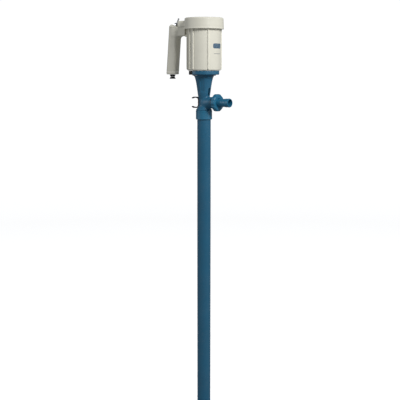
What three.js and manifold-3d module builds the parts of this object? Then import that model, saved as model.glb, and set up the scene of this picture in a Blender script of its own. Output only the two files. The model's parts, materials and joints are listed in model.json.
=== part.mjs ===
// Electric drum pump: a hand-held motor on a plastic pump head with a hose barb and a long
// immersion tube. Millimetres, +Z up. The origin is on the tube's axis, at the underside of the
// tube nut. +X points along the discharge branch and -X towards the handle.

import * as THREE from 'three';
import { mergeVertices } from 'three/addons/utils/BufferGeometryUtils.js';
import Module from 'manifold-3d';

const wasm = await Module();
wasm.setup();

// ---------------------------------------------------------------- driving dimensions

const GAP = 0.3; // clearance between neighbouring pieces

// Immersion tube
const FOOT_Z = -1000;
const TUBE_BOTTOM_Z = -930;
const TUBE_RADIUS = 21;
const TUBE_WALL = 3;
const COLUMN_RADIUS = 10;
const COLUMN_WALL = 2;
const PUMP_SHAFT_RADIUS = 4;
const TUBE_NUT_RADIUS = 25;
const TUBE_NUT_HEIGHT = 27.5;

// Pump head
const NECK_RADIUS = 15.3;
const BRANCH_Z = 52;
const BRANCH_RADIUS = 17;
const BRANCH_BORE = 12;
const BRANCH_END_X = 50;
const FLANGE_RADIUS = 46.8;
const FLANGE_BOTTOM_Z = 137;
const FLANGE_TOP_Z = 149;
const HEAD_SCREW_CIRCLE = 40;
const HEAD_SCREW_ANGLES = [0, 90, 180, 270];
const LATCH_ANGLE = 243;
const LATCH_WIDTH = 22;
const BARB_END_X = 99;
const UNION_NUT_RADIUS = 26.7;
const CLIP_Z = 52;
const CLIP_THICKNESS = 3.6;

// Motor
const MOTOR_BOTTOM_Z = 149.5;
const MOTOR_TOP_Z = 275;
const MOTOR_RADIUS = 51.5;
const MOTOR_WALL = 3.5;
const RIB_ANGLES = [39, 93, 110, 132];
const RIB_HEIGHT = 3;
const RIB_WIDTH = 4;
const COVER_RADIUS = 60.5;
const COVER_TOP_Z = 312;
const COVER_WALL = 3;
const MOTOR_SHAFT_RADIUS = 5;
const COVER_SCREW_CIRCLE = 43.5;
const COVER_SCREW_ANGLES = [45, 135, 225, 315];

// Handle
const ARM_TOP_Z = 305;
const ARM_SPLIT_Z = 284;
const ARM_WIDTH = 32;
const GRIP_WIDTH = 30;
const GRIP_DEPTH = 36;
const GRIP_TOP_X = -115;
const GRIP_BOTTOM_X = -124;
const GRIP_BOTTOM_Z = 138;
const HANDLE_WALL = 3;
const SWITCH_X = -110;
const SWITCH_TILT = 15;
const LEVER_LEAN = 15;

// ---------------------------------------------------------------- materials

const finish = (color, roughness, metalness = 0) =>
  new THREE.MeshStandardMaterial({ color, roughness, metalness });

const MATERIALS = {
  cream: finish(0xd9d6c8, 0.5),
  blue: finish(0x1f5a86, 0.42),
  tealBlue: finish(0x2a6e9c, 0.4),
  black: finish(0x161616, 0.6),
  chrome: finish(0xc9ccd0, 0.18, 1),
  steel: finish(0x8f9498, 0.38, 1),
  springSteel: finish(0x22232a, 0.4, 0.8),
  lamination: finish(0x5b5d60, 0.55, 0.8),
  copper: finish(0xa9592c, 0.4, 0.9),
  brass: finish(0xb08d45, 0.35, 1),
  carbon: finish(0x2a2a2c, 0.7),
  rubber: finish(0x1c1c1d, 0.85),
  bushPlastic: finish(0xe8e6de, 0.5),
};

// ---------------------------------------------------------------- solids

const rad = THREE.MathUtils.degToRad;

/** A closed three.js geometry as a manifold solid with its faces pointing out. */
function solid(geometry) {
  const bare = geometry.clone();
  bare.deleteAttribute('normal');
  bare.deleteAttribute('uv');
  const merged = mergeVertices(bare, 1e-4);
  const position = merged.attributes.position.array;
  const triangles = [];
  const source = merged.index.array;
  for (let i = 0; i < source.length; i += 3) {
    const [a, b, c] = source.slice(i, i + 3);
    if (a !== b && b !== c && c !== a) triangles.push(a, b, c);
  }
  const inward = signedVolume(position, triangles) < 0;
  const triVerts = Uint32Array.from(inward ? triangles.reverse() : triangles);
  const vertProperties = Float32Array.from(position);
  return new wasm.Manifold(new wasm.Mesh({ numProp: 3, vertProperties, triVerts }));
}

/** Six times the enclosed volume, negative where the faces point in. */
function signedVolume(position, triangles) {
  const corner = (i) => new THREE.Vector3().fromArray(position, 3 * triangles[i]);
  let total = 0;
  for (let i = 0; i < triangles.length; i += 3) {
    total += corner(i).dot(corner(i + 1).cross(corner(i + 2)));
  }
  return total;
}

/** A named mesh holding one solid. */
function piece(name, shape, material) {
  const { vertProperties, triVerts } = shape.getMesh();
  const geometry = new THREE.BufferGeometry();
  geometry.setAttribute('position', new THREE.BufferAttribute(vertProperties, 3));
  geometry.setIndex(new THREE.BufferAttribute(triVerts, 1));
  geometry.computeVertexNormals();
  const mesh = new THREE.Mesh(geometry, material);
  mesh.name = name;
  return mesh;
}

/** A profile of [radius, height] points turned about +Z. A ring's profile is closed. */
function turned(profile, { closed = false, sides = 24 } = {}) {
  const points = profile.map(([r, z]) => new THREE.Vector2(r, z));
  if (closed) points.push(points[0].clone());
  return new THREE.LatheGeometry(points, sides).rotateX(Math.PI / 2);
}

/** The same turning laid along +X, through height z. */
function turnedAlongX(profile, z, options) {
  return turned(profile, options).rotateZ(Math.PI).rotateY(Math.PI / 2).translate(0, 0, z);
}

/** A round bar between two heights. */
function bar(radius, z0, z1, sides = 16) {
  return turned([[0, z0], [radius, z0], [radius, z1], [0, z1]], { sides });
}

/** A square-cut ring between two radii and two heights. */
function ring(inner, outer, z0, z1, sides = 24) {
  return turned([[inner, z0], [outer, z0], [outer, z1], [inner, z1]], { closed: true, sides });
}

/** A box between two corners. */
function block([x0, y0, z0], [x1, y1, z1]) {
  const box = new THREE.BoxGeometry(x1 - x0, y1 - y0, z1 - z0);
  return box.translate((x0 + x1) / 2, (y0 + y1) / 2, (z0 + z1) / 2);
}

/** A geometry turned about +Z by an angle in degrees. */
const around = (geometry, degrees) => geometry.clone().rotateZ(rad(degrees));

/** Solid copies of a geometry, one turned about +Z to each angle. */
const copies = (geometry, angles) => angles.map((angle) => solid(around(geometry, angle)));

/** Evenly spaced angles around a turn, in degrees. */
const evenly = (count, start = 0) => Array.from({ length: count }, (_, i) => start + (360 / count) * i);

/** A wedge of the circle about +Z, centred on an angle and wider than any piece. */
function wedge(centre, span, z0, z1) {
  const reach = 90;
  const shape = new THREE.Shape();
  shape.moveTo(0, 0);
  shape.lineTo(reach * Math.cos(rad(-span / 2)), reach * Math.sin(rad(-span / 2)));
  shape.lineTo(reach * Math.cos(rad(span / 2)), reach * Math.sin(rad(span / 2)));
  const prism = new THREE.ExtrudeGeometry(shape, { depth: z1 - z0, bevelEnabled: false });
  return around(prism.translate(0, 0, z0), centre);
}

/** All solids joined into one. */
const joined = (solids) => solids.reduce((sum, next) => sum.add(next));

/** A solid with each of the others cut away. */
const cut = (body, tools) => tools.reduce((rest, tool) => rest.subtract(tool), body);

/** A screw pointing up from its head at the origin: a head and a shank. */
function screw(headRadius, headHeight, shankRadius, length) {
  return turned([
    [0, -headHeight], [headRadius * 0.75, -headHeight], [headRadius, -headHeight * 0.5],
    [headRadius, 0], [shankRadius, 0], [shankRadius, length - 1], [0, length],
  ], { sides: 8 });
}

// ---------------------------------------------------------------- immersion tube

const tubeBore = TUBE_RADIUS - TUBE_WALL;
const impellerRadius = 14.2;
const housingBore = impellerRadius + GAP;
const tubeFlangeRadius = TUBE_RADIUS + 1.4;
const tubeFlangeZ = 4 + GAP;
const tubeTopZ = 8;

function outerTube() {
  const profile = [
    [tubeBore, TUBE_BOTTOM_Z], [TUBE_RADIUS, TUBE_BOTTOM_Z], [TUBE_RADIUS, tubeFlangeZ],
    [tubeFlangeRadius, tubeFlangeZ], [tubeFlangeRadius, tubeTopZ], [tubeBore, tubeTopZ],
  ];
  return solid(turned(profile, { closed: true, sides: 28 }));
}

function tubeNut() {
  const r = TUBE_NUT_RADIUS;
  const thread = tubeFlangeRadius + 0.4;
  const lip = TUBE_RADIUS + 0.4;
  const profile = [
    [lip, 0], [r - 1, 0], [r + 0.2, 1.2], [r, TUBE_NUT_HEIGHT - 1],
    [r - 0.8, TUBE_NUT_HEIGHT], [thread, TUBE_NUT_HEIGHT], [thread, 4], [lip, 4],
  ];
  return solid(turned(profile, { closed: true, sides: 28 }));
}

const seatZ = -975; // joint between the impeller housing and the foot

function impellerHousing() {
  const top = TUBE_BOTTOM_Z - GAP;
  const spigotTop = TUBE_BOTTOM_Z + 12;
  const shell = solid(turned([
    [housingBore, seatZ + GAP], [TUBE_RADIUS, seatZ + GAP], [TUBE_RADIUS, top],
    [tubeBore - GAP, top], [tubeBore - GAP, spigotTop], [housingBore, spigotTop],
  ], { closed: true }));
  const hub = solid(ring(COLUMN_RADIUS + GAP, COLUMN_RADIUS + 2.3, top, spigotTop));
  const vane = block([COLUMN_RADIUS + 1, -1, top], [housingBore + 1, 1, spigotTop]);
  return joined([shell, hub, ...copies(vane, evenly(3))]);
}

function suctionFoot() {
  const wall = 3.5;
  const cup = solid(turned([
    [9, FOOT_Z], [TUBE_RADIUS - 1.5, FOOT_Z], [TUBE_RADIUS, FOOT_Z + 1.5], [TUBE_RADIUS, seatZ],
    [TUBE_RADIUS - wall, seatZ], [TUBE_RADIUS - wall, FOOT_Z + 4], [9, FOOT_Z + 4],
  ], { closed: true }));
  const slot = block([10, -3, FOOT_Z + 5], [30, 3, seatZ - 5]);
  return cut(cup, copies(slot, evenly(6)));
}

/** A hub with three twisted blades. */
function impeller() {
  const bottom = seatZ + 5;
  const height = 30;
  const twist = rad(95);
  const hub = solid(turned([
    [0, bottom - 6], [3.5, bottom - 3], [6, bottom], [6, bottom + height],
    [PUMP_SHAFT_RADIUS + GAP, bottom + height], [PUMP_SHAFT_RADIUS + GAP, bottom + 8],
    [0, bottom + 8],
  ], { sides: 20 }));
  const blade = new THREE.BoxGeometry(impellerRadius - 5, 2, height - 2, 1, 1, 6);
  blade.translate((impellerRadius + 5) / 2, 0, bottom + height / 2);
  const position = blade.attributes.position;
  for (let i = 0; i < position.count; i += 1) {
    const point = new THREE.Vector3().fromBufferAttribute(position, i);
    point.applyAxisAngle(new THREE.Vector3(0, 0, 1), twist * ((point.z - bottom) / height));
    position.setXYZ(i, point.x, point.y, point.z);
  }
  return joined([hub, ...copies(blade, evenly(3))]);
}

const shaftTopZ = 92;
const columnTopZ = 40;
const bushHeights = [-900, -480, -60];

function tubeGroup() {
  const group = new THREE.Group();
  const shaftBottomZ = seatZ + 14;
  const column = ring(COLUMN_RADIUS - COLUMN_WALL, COLUMN_RADIUS, TUBE_BOTTOM_Z, columnTopZ, 28);
  const shaft = bar(PUMP_SHAFT_RADIUS, shaftBottomZ, shaftTopZ);
  group.add(
    piece('outer_tube', outerTube(), MATERIALS.blue),
    piece('tube_nut', tubeNut(), MATERIALS.blue),
    piece('tube_seal', solid(ring(18.2, 22.2, tubeTopZ + GAP, tubeTopZ + 2)), MATERIALS.rubber),
    piece('impeller_housing', impellerHousing(), MATERIALS.blue),
    piece('suction_foot', suctionFoot(), MATERIALS.blue),
    piece('impeller', impeller(), MATERIALS.bushPlastic),
    piece('inner_column', solid(column), MATERIALS.bushPlastic),
    piece('pump_shaft', solid(shaft), MATERIALS.steel),
  );
  bushHeights.forEach((z, i) => {
    const inner = PUMP_SHAFT_RADIUS + GAP;
    const outer = COLUMN_RADIUS - COLUMN_WALL - GAP;
    const bush = solid(ring(inner, outer, z, z + 16, 20));
    group.add(piece(`shaft_bush_${i + 1}`, bush, MATERIALS.carbon));
  });
  return group;
}

// ---------------------------------------------------------------- pump head

const spigotBottomZ = tubeTopZ + 2 + GAP;
const partitionZ = 68;

/** The trumpet's outer profile above the neck, moved in by an inset. */
function trumpetProfile(inset) {
  return [
    [NECK_RADIUS, 60], [17.2, 66], [19, 75], [20.7, 88], [22.5, 101], [24.4, 113],
    [27.4, 126], [29.8, 132], [33.5, FLANGE_BOTTOM_Z],
  ].map(([r, z]) => [r - inset, z]);
}

/** A shallow panel sunk into the trumpet between two heights. */
function trumpetPanel(angle, span) {
  const sunk = 1.4;
  const core = solid(turned([[0, 60], ...trumpetProfile(sunk), [0, FLANGE_BOTTOM_Z]], { sides: 30 }));
  return solid(wedge(angle, span, 84, 130)).subtract(core);
}

function pumpHead() {
  const body = solid(turned([
    [0, spigotBottomZ], [tubeFlangeRadius, spigotBottomZ], [tubeFlangeRadius, 28],
    [24.6, 28], [24.6, 30.5], [21.5, 34], [18, 39], [16, 44], [NECK_RADIUS, 50],
    ...trumpetProfile(0),
    [FLANGE_RADIUS - 1, FLANGE_BOTTOM_Z], [FLANGE_RADIUS, FLANGE_BOTTOM_Z + 1],
    [FLANGE_RADIUS, FLANGE_TOP_Z], [0, FLANGE_TOP_Z],
  ], { sides: 30 }));
  const branch = solid(turnedAlongX([
    [0, 0], [BRANCH_RADIUS, 0], [BRANCH_RADIUS, BRANCH_END_X - 5.5], [21, BRANCH_END_X - 5],
    [21, BRANCH_END_X], [0, BRANCH_END_X],
  ], BRANCH_Z));
  const sweep = new THREE.QuadraticBezierCurve3(
    new THREE.Vector3(3, 0, 28.5),
    new THREE.Vector3(5, 0, 45),
    new THREE.Vector3(24, 0, BRANCH_Z - 1),
  );
  const section = new THREE.Shape();
  section.absarc(0, 0, 15, 0, 2 * Math.PI);
  const elbow = solid(new THREE.ExtrudeGeometry(section, {
    extrudePath: sweep, steps: 5, curveSegments: 9, bevelEnabled: false,
  }));
  const waterway = solid(turned([
    [0, spigotBottomZ - 1], [tubeBore, spigotBottomZ - 1], [tubeBore, 18], [13, 34],
    [13, 60], [9, 64.5], [0, 64.5],
  ]));
  const branchBore = solid(turnedAlongX([
    [0, 0], [BRANCH_BORE, 0], [BRANCH_BORE, BRANCH_END_X + 1], [0, BRANCH_END_X + 1],
  ], BRANCH_Z, { sides: 28 }));
  const couplingChamber = solid(turned([
    [0, partitionZ], [13.5, partitionZ], [15.5, 95], [18, 122], [22, 138],
    [22, FLANGE_TOP_Z + 1], [0, FLANGE_TOP_Z + 1],
  ]));
  const shaftHole = solid(bar(PUMP_SHAFT_RADIUS + 0.5, 60, 75));
  const window = solid(block([8, -4.5, partitionZ + 4], [40, 4.5, 97]));
  const latchPocket = solid(around(block(
    [33.5, -LATCH_WIDTH / 2 - GAP, FLANGE_BOTTOM_Z - 2],
    [60, LATCH_WIDTH / 2 + GAP, FLANGE_TOP_Z + 1],
  ), LATCH_ANGLE));
  const screwHole = bar(2.8, 120, 160).translate(HEAD_SCREW_CIRCLE, 0, 0);
  const clipHole = solid(bar(1.9, 0, 30, 12).rotateY(-Math.PI / 2).translate(-9, 0, CLIP_Z));
  const panels = [69, 111, -69, -111].map((angle) => trumpetPanel(angle, 32));
  return cut(joined([body, branch, elbow]), [
    waterway, branchBore, couplingChamber, shaftHole, window, latchPocket, clipHole,
    ...copies(screwHole, HEAD_SCREW_ANGLES), ...panels,
  ]);
}

function unionNut() {
  const barbHole = 14;
  const thread = 21 + 0.4;
  const back = BRANCH_END_X - 6;
  const face = BRANCH_END_X + 8;
  const lip = BRANCH_END_X + 4.8;
  const r = UNION_NUT_RADIUS;
  const body = solid(turnedAlongX([
    [thread, back], [r - 2, back], [r, back + 2], [r, face - 3], [r - 3, face],
    [barbHole, face], [barbHole, lip], [thread, lip],
  ], BRANCH_Z, { closed: true, sides: 30 }));
  const scallops = Array.from({ length: 10 }, (_, i) => {
    const notch = bar(3.4, back - 1, face + 1, 8).translate(r + 1.9, 0, 0);
    const laid = around(notch, 36 * i).rotateY(Math.PI / 2).translate(0, 0, BRANCH_Z);
    return solid(laid);
  });
  return cut(body, scallops);
}

function hoseBarb() {
  const start = BRANCH_END_X + 1.9;
  const end = BARB_END_X;
  const bore = 10.8;
  return solid(turnedAlongX([
    [bore, start], [20.8, start], [20.8, start + 2.6], [13, start + 2.6], [12.4, end - 35],
    [12.5, end - 20], [13.4, end - 12], [12.9, end - 10], [13.6, end - 3], [12.6, end],
    [bore, end],
  ], BRANCH_Z, { closed: true }));
}

/**
 * The outline of the open clip, moved in by an inset: square-shouldered at its back, an ellipse
 * towards its tips.
 */
function clipOutline(inset) {
  const [back, front, height] = [19, 16, 17.5].map((reach) => reach - inset);
  const opening = 131;
  return Array.from({ length: 33 }, (_, i) => {
    const angle = rad(opening * (i / 16 - 1));
    const [x, z] = [Math.cos(angle), Math.sin(angle)];
    if (x < 0) return new THREE.Vector2(front * x, height * z);
    return new THREE.Vector2(back * Math.sqrt(x), height * Math.sign(z) * Math.sqrt(Math.abs(z)));
  });
}

/** The open clip behind the neck, a thick strip bent to a C that opens towards -X. */
function springClip() {
  const halfWidth = 5;
  const outline = new THREE.Shape([...clipOutline(0), ...clipOutline(CLIP_THICKNESS).reverse()]);
  const strip = new THREE.ExtrudeGeometry(outline, { depth: 2 * halfWidth, bevelEnabled: false });
  strip.rotateX(Math.PI / 2).translate(-36, halfWidth, CLIP_Z);
  const hole = solid(bar(1.9, 0, 30, 12).rotateY(-Math.PI / 2).translate(-9, 0, CLIP_Z));
  return solid(strip).subtract(hole);
}

const jawBottomZ = 106;
const jawTopZ = 116;
const couplingRadius = 11;

/** The star-shaped space between the coupling jaws, with arms of a given width. */
function star(hubRadius, armWidth, z0, z1) {
  const arm = block([0, -armWidth / 2, z0], [couplingRadius, armWidth / 2, z1]);
  return joined([solid(bar(hubRadius, z0, z1, 24)), ...copies(arm, evenly(6, 30))]);
}

function jaws(angles) {
  const body = solid(ring(5.5, couplingRadius, jawBottomZ - 1, jawTopZ + 1));
  const sectors = joined(angles.map((angle) => {
    return solid(wedge(angle, 60, jawBottomZ - 0.5, jawTopZ + 0.5));
  }));
  return body.intersect(sectors).subtract(star(5.2, 3.6, jawBottomZ - 2, jawTopZ + 2));
}

function motorCoupling() {
  const hub = solid(ring(MOTOR_SHAFT_RADIUS + GAP, couplingRadius, jawTopZ, 136));
  const clear = solid(bar(couplingRadius + 2, jawBottomZ - 3, jawBottomZ + GAP));
  return hub.add(jaws(evenly(3))).subtract(clear);
}

function pumpCoupling() {
  const hub = solid(ring(PUMP_SHAFT_RADIUS + GAP, couplingRadius, 86, jawBottomZ));
  const clear = solid(bar(couplingRadius + 2, jawTopZ - GAP, jawTopZ + 3));
  return hub.add(jaws(evenly(3, 60))).subtract(clear);
}

function latchBlock() {
  const z0 = FLANGE_BOTTOM_Z + GAP;
  const z1 = FLANGE_TOP_Z - GAP;
  const half = LATCH_WIDTH / 2;
  const bodyBlock = solid(block([37.2, -half, z0], [60, half, z1]));
  const round = solid(bar(FLANGE_RADIUS + 1, z0 - 1, z1 + 1, 72));
  const grooves = [-7, -3.5, 0, 3.5, 7].map((y) => {
    return solid(block([FLANGE_RADIUS, y - 0.6, z0 - 1], [FLANGE_RADIUS + 5, y + 0.6, z1 + 1]));
  });
  const latch = cut(bodyBlock.intersect(round), grooves);
  return piece('latch_block', latch, MATERIALS.black);
}

function headGroup() {
  const group = new THREE.Group();
  const seal = ring(PUMP_SHAFT_RADIUS + GAP, 9, partitionZ + GAP, partitionZ + 7, 24);
  const washer = turnedAlongX([
    [12.5, BRANCH_END_X + GAP], [19.5, BRANCH_END_X + GAP],
    [19.5, BRANCH_END_X + 1.6], [12.5, BRANCH_END_X + 1.6],
  ], BRANCH_Z, { closed: true, sides: 28 });
  const latch = latchBlock();
  latch.rotation.z = rad(LATCH_ANGLE);
  const clipScrew = screw(3.4, 2, 1.6, 7);
  clipScrew.rotateY(Math.PI / 2).translate(-20.9, 0, CLIP_Z);
  group.add(
    piece('pump_head', pumpHead(), MATERIALS.blue),
    piece('shaft_seal', solid(seal), MATERIALS.rubber),
    piece('discharge_seal', solid(washer), MATERIALS.rubber),
    piece('union_nut', unionNut(), MATERIALS.tealBlue),
    piece('hose_barb', hoseBarb(), MATERIALS.tealBlue),
    piece('spring_clip', springClip(), MATERIALS.springSteel),
    piece('clip_screw', solid(clipScrew), MATERIALS.steel),
    piece('motor_coupling', motorCoupling(), MATERIALS.steel),
    piece('pump_coupling', pumpCoupling(), MATERIALS.steel),
    piece('coupling_spider', star(4.9, 2.9, jawBottomZ + GAP, jawTopZ - GAP), MATERIALS.rubber),
    latch,
  );
  HEAD_SCREW_ANGLES.forEach((angle, i) => {
    const bolt = screw(4.4, 3, 2.5, 22);
    bolt.translate(HEAD_SCREW_CIRCLE, 0, FLANGE_BOTTOM_Z - GAP);
    group.add(piece(`head_screw_${i + 1}`, solid(around(bolt, angle)), MATERIALS.steel));
  });
  return group;
}

// ---------------------------------------------------------------- motor

const motorBore = MOTOR_RADIUS - MOTOR_WALL;
const bracketZ = 262;
const statorBottomZ = 180;
const statorTopZ = 228;

function motorHousing() {
  const floorZ = MOTOR_BOTTOM_Z + 5.5;
  const shell = solid(turned([
    [12.5, MOTOR_BOTTOM_Z], [MOTOR_RADIUS - 2.5, MOTOR_BOTTOM_Z],
    [MOTOR_RADIUS, MOTOR_BOTTOM_Z + 2.5], [MOTOR_RADIUS, MOTOR_TOP_Z], [motorBore, MOTOR_TOP_Z],
    [motorBore, floorZ], [18, floorZ], [18, floorZ + 11], [13.3, floorZ + 11], [13.3, floorZ],
    [12.5, floorZ],
  ], { closed: true, sides: 36 }));
  const rib = block(
    [MOTOR_RADIUS - 1.5, -RIB_WIDTH / 2, MOTOR_BOTTOM_Z + 2.5],
    [MOTOR_RADIUS + RIB_HEIGHT, RIB_WIDTH / 2, MOTOR_TOP_Z],
  );
  const ribs = copies(rib, RIB_ANGLES.flatMap((angle) => [angle, -angle]));
  const lug = solid(block([-60, -13, 253], [-49, 13, 272]));
  const lugToe = solid(block([-64.2, -13, 253], [-59, 13, 259]));
  const hole = bar(2.8, MOTOR_BOTTOM_Z - 5, floorZ + 2, 12).translate(HEAD_SCREW_CIRCLE, 0, 0);
  return cut(joined([shell, ...ribs, lug, lugToe]), copies(hole, HEAD_SCREW_ANGLES));
}

/** The arm's outline in X and Z: from inside the cover to the sloped switch seat. */
function armOutline() {
  const arm = new THREE.Shape();
  arm.moveTo(-40, ARM_SPLIT_Z + GAP);
  arm.lineTo(-40, COVER_TOP_Z - 4);
  arm.lineTo(-56, COVER_TOP_Z - 2);
  arm.quadraticCurveTo(-62, ARM_TOP_Z, -70, ARM_TOP_Z);
  arm.lineTo(-98, ARM_TOP_Z);
  arm.lineTo(-99, ARM_SPLIT_Z + 2);
  arm.lineTo(-121, ARM_SPLIT_Z + 2 + 22 * Math.tan(rad(SWITCH_TILT)));
  arm.lineTo(-130.5, ARM_SPLIT_Z + GAP);
  return arm;
}

/** A shape drawn in X and Z, given a thickness across Y. */
function slab(shape, y0, y1) {
  const geometry = new THREE.ExtrudeGeometry(shape, {
    depth: y1 - y0, bevelEnabled: false, curveSegments: 6,
  });
  return geometry.rotateX(Math.PI / 2).translate(0, y1, 0);
}

const seatCentreZ = ARM_SPLIT_Z + 2 + (-99 - SWITCH_X) * Math.tan(rad(SWITCH_TILT));

/** Places a geometry made along +Z from the switch seat onto the tilted seat. */
function onSeat(geometry) {
  return geometry.rotateY(rad(SWITCH_TILT)).translate(SWITCH_X, 0, seatCentreZ);
}

const switchHole = () => solid(onSeat(bar(6.3, -16, 10, 20)));

function topCover() {
  const floorZ = MOTOR_TOP_Z + GAP;
  const roof = COVER_TOP_Z - COVER_WALL;
  const inner = COVER_RADIUS - COVER_WALL;
  const cap = solid(turned([
    [0, floorZ], [COVER_RADIUS - 0.6, floorZ], [COVER_RADIUS, floorZ + 0.6],
    [COVER_RADIUS, floorZ + 3], [COVER_RADIUS - 0.6, floorZ + 3.6],
    [COVER_RADIUS - 1, COVER_TOP_Z - 3.5], [COVER_RADIUS - 4, COVER_TOP_Z], [0, COVER_TOP_Z],
  ], { sides: 36 }));
  const arm = solid(slab(armOutline(), -ARM_WIDTH / 2, ARM_WIDTH / 2));
  const hollow = solid(turned([
    [0, floorZ - 1], [47, floorZ - 1], [47, floorZ + 3], [inner, floorZ + 3],
    [inner - 2, roof], [0, roof],
  ], { sides: 28 }));
  const armHollow = solid(block(
    [-94, -ARM_WIDTH / 2 + 4, ARM_SPLIT_Z + 3.5],
    [-40, ARM_WIDTH / 2 - 4, ARM_TOP_Z - 3.5],
  ));
  const screwSeat = bar(4.4, COVER_TOP_Z - 2.6, COVER_TOP_Z + 3).translate(COVER_SCREW_CIRCLE, 0, 0);
  const screwHole = bar(2.3, 290, COVER_TOP_Z + 3, 12).translate(COVER_SCREW_CIRCLE, 0, 0);
  const vent = block([52.8, -3.6, floorZ - 1], [57, 3.6, floorZ + 4]);
  const ventAngles = Array.from({ length: 12 }, (_, i) => -150 + (300 / 11) * i);
  return cut(cap.add(arm), [
    hollow, armHollow, switchHole(), ...copies(screwSeat, COVER_SCREW_ANGLES),
    ...copies(screwHole, COVER_SCREW_ANGLES), ...copies(vent, ventAngles),
  ]);
}

function bearingBracket() {
  const plate = solid(ring(11.3, motorBore - GAP, bracketZ, bracketZ + 6, 32));
  const hub = solid(ring(11.3, 15, bracketZ + 1, bracketZ + 12));
  const hole = bar(2.3, 250, 280, 12).translate(COVER_SCREW_CIRCLE, 0, 0);
  const airways = [0, 90, 180, 270].map((angle) => {
    const outer = solid(wedge(angle, 56, bracketZ - 1, bracketZ + 7));
    const band = solid(ring(19, 39, bracketZ - 2, bracketZ + 8));
    return outer.intersect(band);
  });
  return cut(plate.add(hub), [...copies(hole, COVER_SCREW_ANGLES), ...airways]);
}

function statorCore() {
  const stack = solid(ring(29, motorBore - GAP, statorBottomZ, statorTopZ, 32));
  const coilSpace = block([20, -16, statorBottomZ - 1], [42, 16, statorTopZ + 1]);
  return cut(stack, copies(coilSpace, [0, 180]));
}

function armatureCore() {
  const core = solid(ring(MOTOR_SHAFT_RADIUS + GAP, 28.4, statorBottomZ + 2, statorTopZ - 2, 36));
  const slot = block([19, -1.6, statorBottomZ], [40, 1.6, statorTopZ]);
  return cut(core, copies(slot, evenly(12)));
}

function coolingFan() {
  const base = 278;
  const disc = solid(ring(10, 38, base, base + 1.6));
  const hub = solid(ring(MOTOR_SHAFT_RADIUS + GAP, 10.5, base - 1, base + 12, 24));
  const blade = block([9, -0.8, base + 1], [37, 0.8, base + 12]).rotateZ(rad(4));
  return joined([disc, hub, ...copies(blade, evenly(9))]);
}

/** The helix of a short compression spring along +Y. */
class SpringHelix extends THREE.Curve {
  getPoint(t) {
    const turn = 2 * Math.PI * 4 * t;
    return new THREE.Vector3(2.2 * Math.cos(turn), 8 * t, 2.2 * Math.sin(turn));
  }
}

function brushSet(side, direction) {
  const group = new THREE.Group();
  const z = 248;
  const holder = solid(block([-5.5, 17, z - 7], [5.5, 41, z + 7]));
  const channel = solid(block([-3.6, 10, z - 4.6], [3.6, 39, z + 4.6]));
  const brush = block([-3.2, 15.5, z - 4.2], [3.2, 28, z + 4.2]);
  const wire = new THREE.Shape();
  wire.absarc(0, 0, 0.5, 0, 2 * Math.PI);
  const spring = new THREE.ExtrudeGeometry(wire, {
    extrudePath: new SpringHelix(), steps: 26, curveSegments: 2, bevelEnabled: false,
  }).translate(0, 29.2, z);
  group.add(
    piece(`brush_holder_${side}`, holder.subtract(channel), MATERIALS.brass),
    piece(`brush_${side}`, solid(brush), MATERIALS.carbon),
    piece(`brush_spring_${side}`, solid(spring), MATERIALS.steel),
  );
  group.rotation.z = rad(direction);
  return group;
}

function motorGroup() {
  const group = new THREE.Group();
  const bearing = (outer, z) => solid(ring(MOTOR_SHAFT_RADIUS + GAP, outer, z, z + 9, 28));
  const coil = (z0, z1) => solid(turned([
    [31, z0 + 3], [34, z0], [42, z0], [45, z0 + 3], [45, z1 - 3], [42, z1], [34, z1], [31, z1 - 3],
  ], { closed: true }));
  const overhang = (z0, z1) => solid(turned([
    [9, z0], [21, z0], [25, z0 + 3], [25, z1 - 3], [21, z1], [9, z1],
  ], { closed: true }));
  const commutator = ring(MOTOR_SHAFT_RADIUS + GAP, 15, 240, 257, 24);
  const shaft = bar(MOTOR_SHAFT_RADIUS, jawTopZ + 1, 292);
  group.add(
    piece('motor_housing', motorHousing(), MATERIALS.cream),
    piece('top_cover', topCover(), MATERIALS.cream),
    piece('bearing_bracket', bearingBracket(), MATERIALS.lamination),
    piece('upper_bearing', bearing(11, bracketZ + 1), MATERIALS.steel),
    piece('lower_bearing', bearing(13, MOTOR_BOTTOM_Z + 5.5 + GAP), MATERIALS.steel),
    piece('stator_core', statorCore(), MATERIALS.lamination),
    piece('stator_coil_upper', coil(statorTopZ + GAP, statorTopZ + 12), MATERIALS.copper),
    piece('stator_coil_lower', coil(statorBottomZ - 12, statorBottomZ - GAP), MATERIALS.copper),
    piece('armature_core', armatureCore(), MATERIALS.lamination),
    piece('armature_coil_upper', overhang(statorTopZ - 2 + GAP, 238), MATERIALS.copper),
    piece('armature_coil_lower', overhang(170, statorBottomZ + 2 - GAP), MATERIALS.copper),
    piece('commutator', solid(commutator), MATERIALS.copper),
    piece('motor_shaft', solid(shaft), MATERIALS.steel),
    piece('cooling_fan', coolingFan(), MATERIALS.black),
    brushSet('front', 0),
    brushSet('rear', 180),
  );
  COVER_SCREW_ANGLES.forEach((angle, i) => {
    const bolt = screw(4, 2.2, 2, 46).rotateX(Math.PI);
    bolt.translate(COVER_SCREW_CIRCLE, 0, COVER_TOP_Z - 2.6 + GAP);
    group.add(piece(`cover_screw_${i + 1}`, solid(around(bolt, angle)), MATERIALS.steel));
  });
  return group;
}

// ---------------------------------------------------------------- handle and switch

const capTopZ = GRIP_BOTTOM_Z + 8;
const gripTopZ = 250;
const webBottomZ = 256;
const webEndX = -64.5;

/** Grip centre line: further from the motor the lower it is. */
function gripCentre(z) {
  const down = (gripTopZ - z) / (gripTopZ - GRIP_BOTTOM_Z);
  return GRIP_TOP_X + down * (GRIP_BOTTOM_X - GRIP_TOP_X);
}

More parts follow.
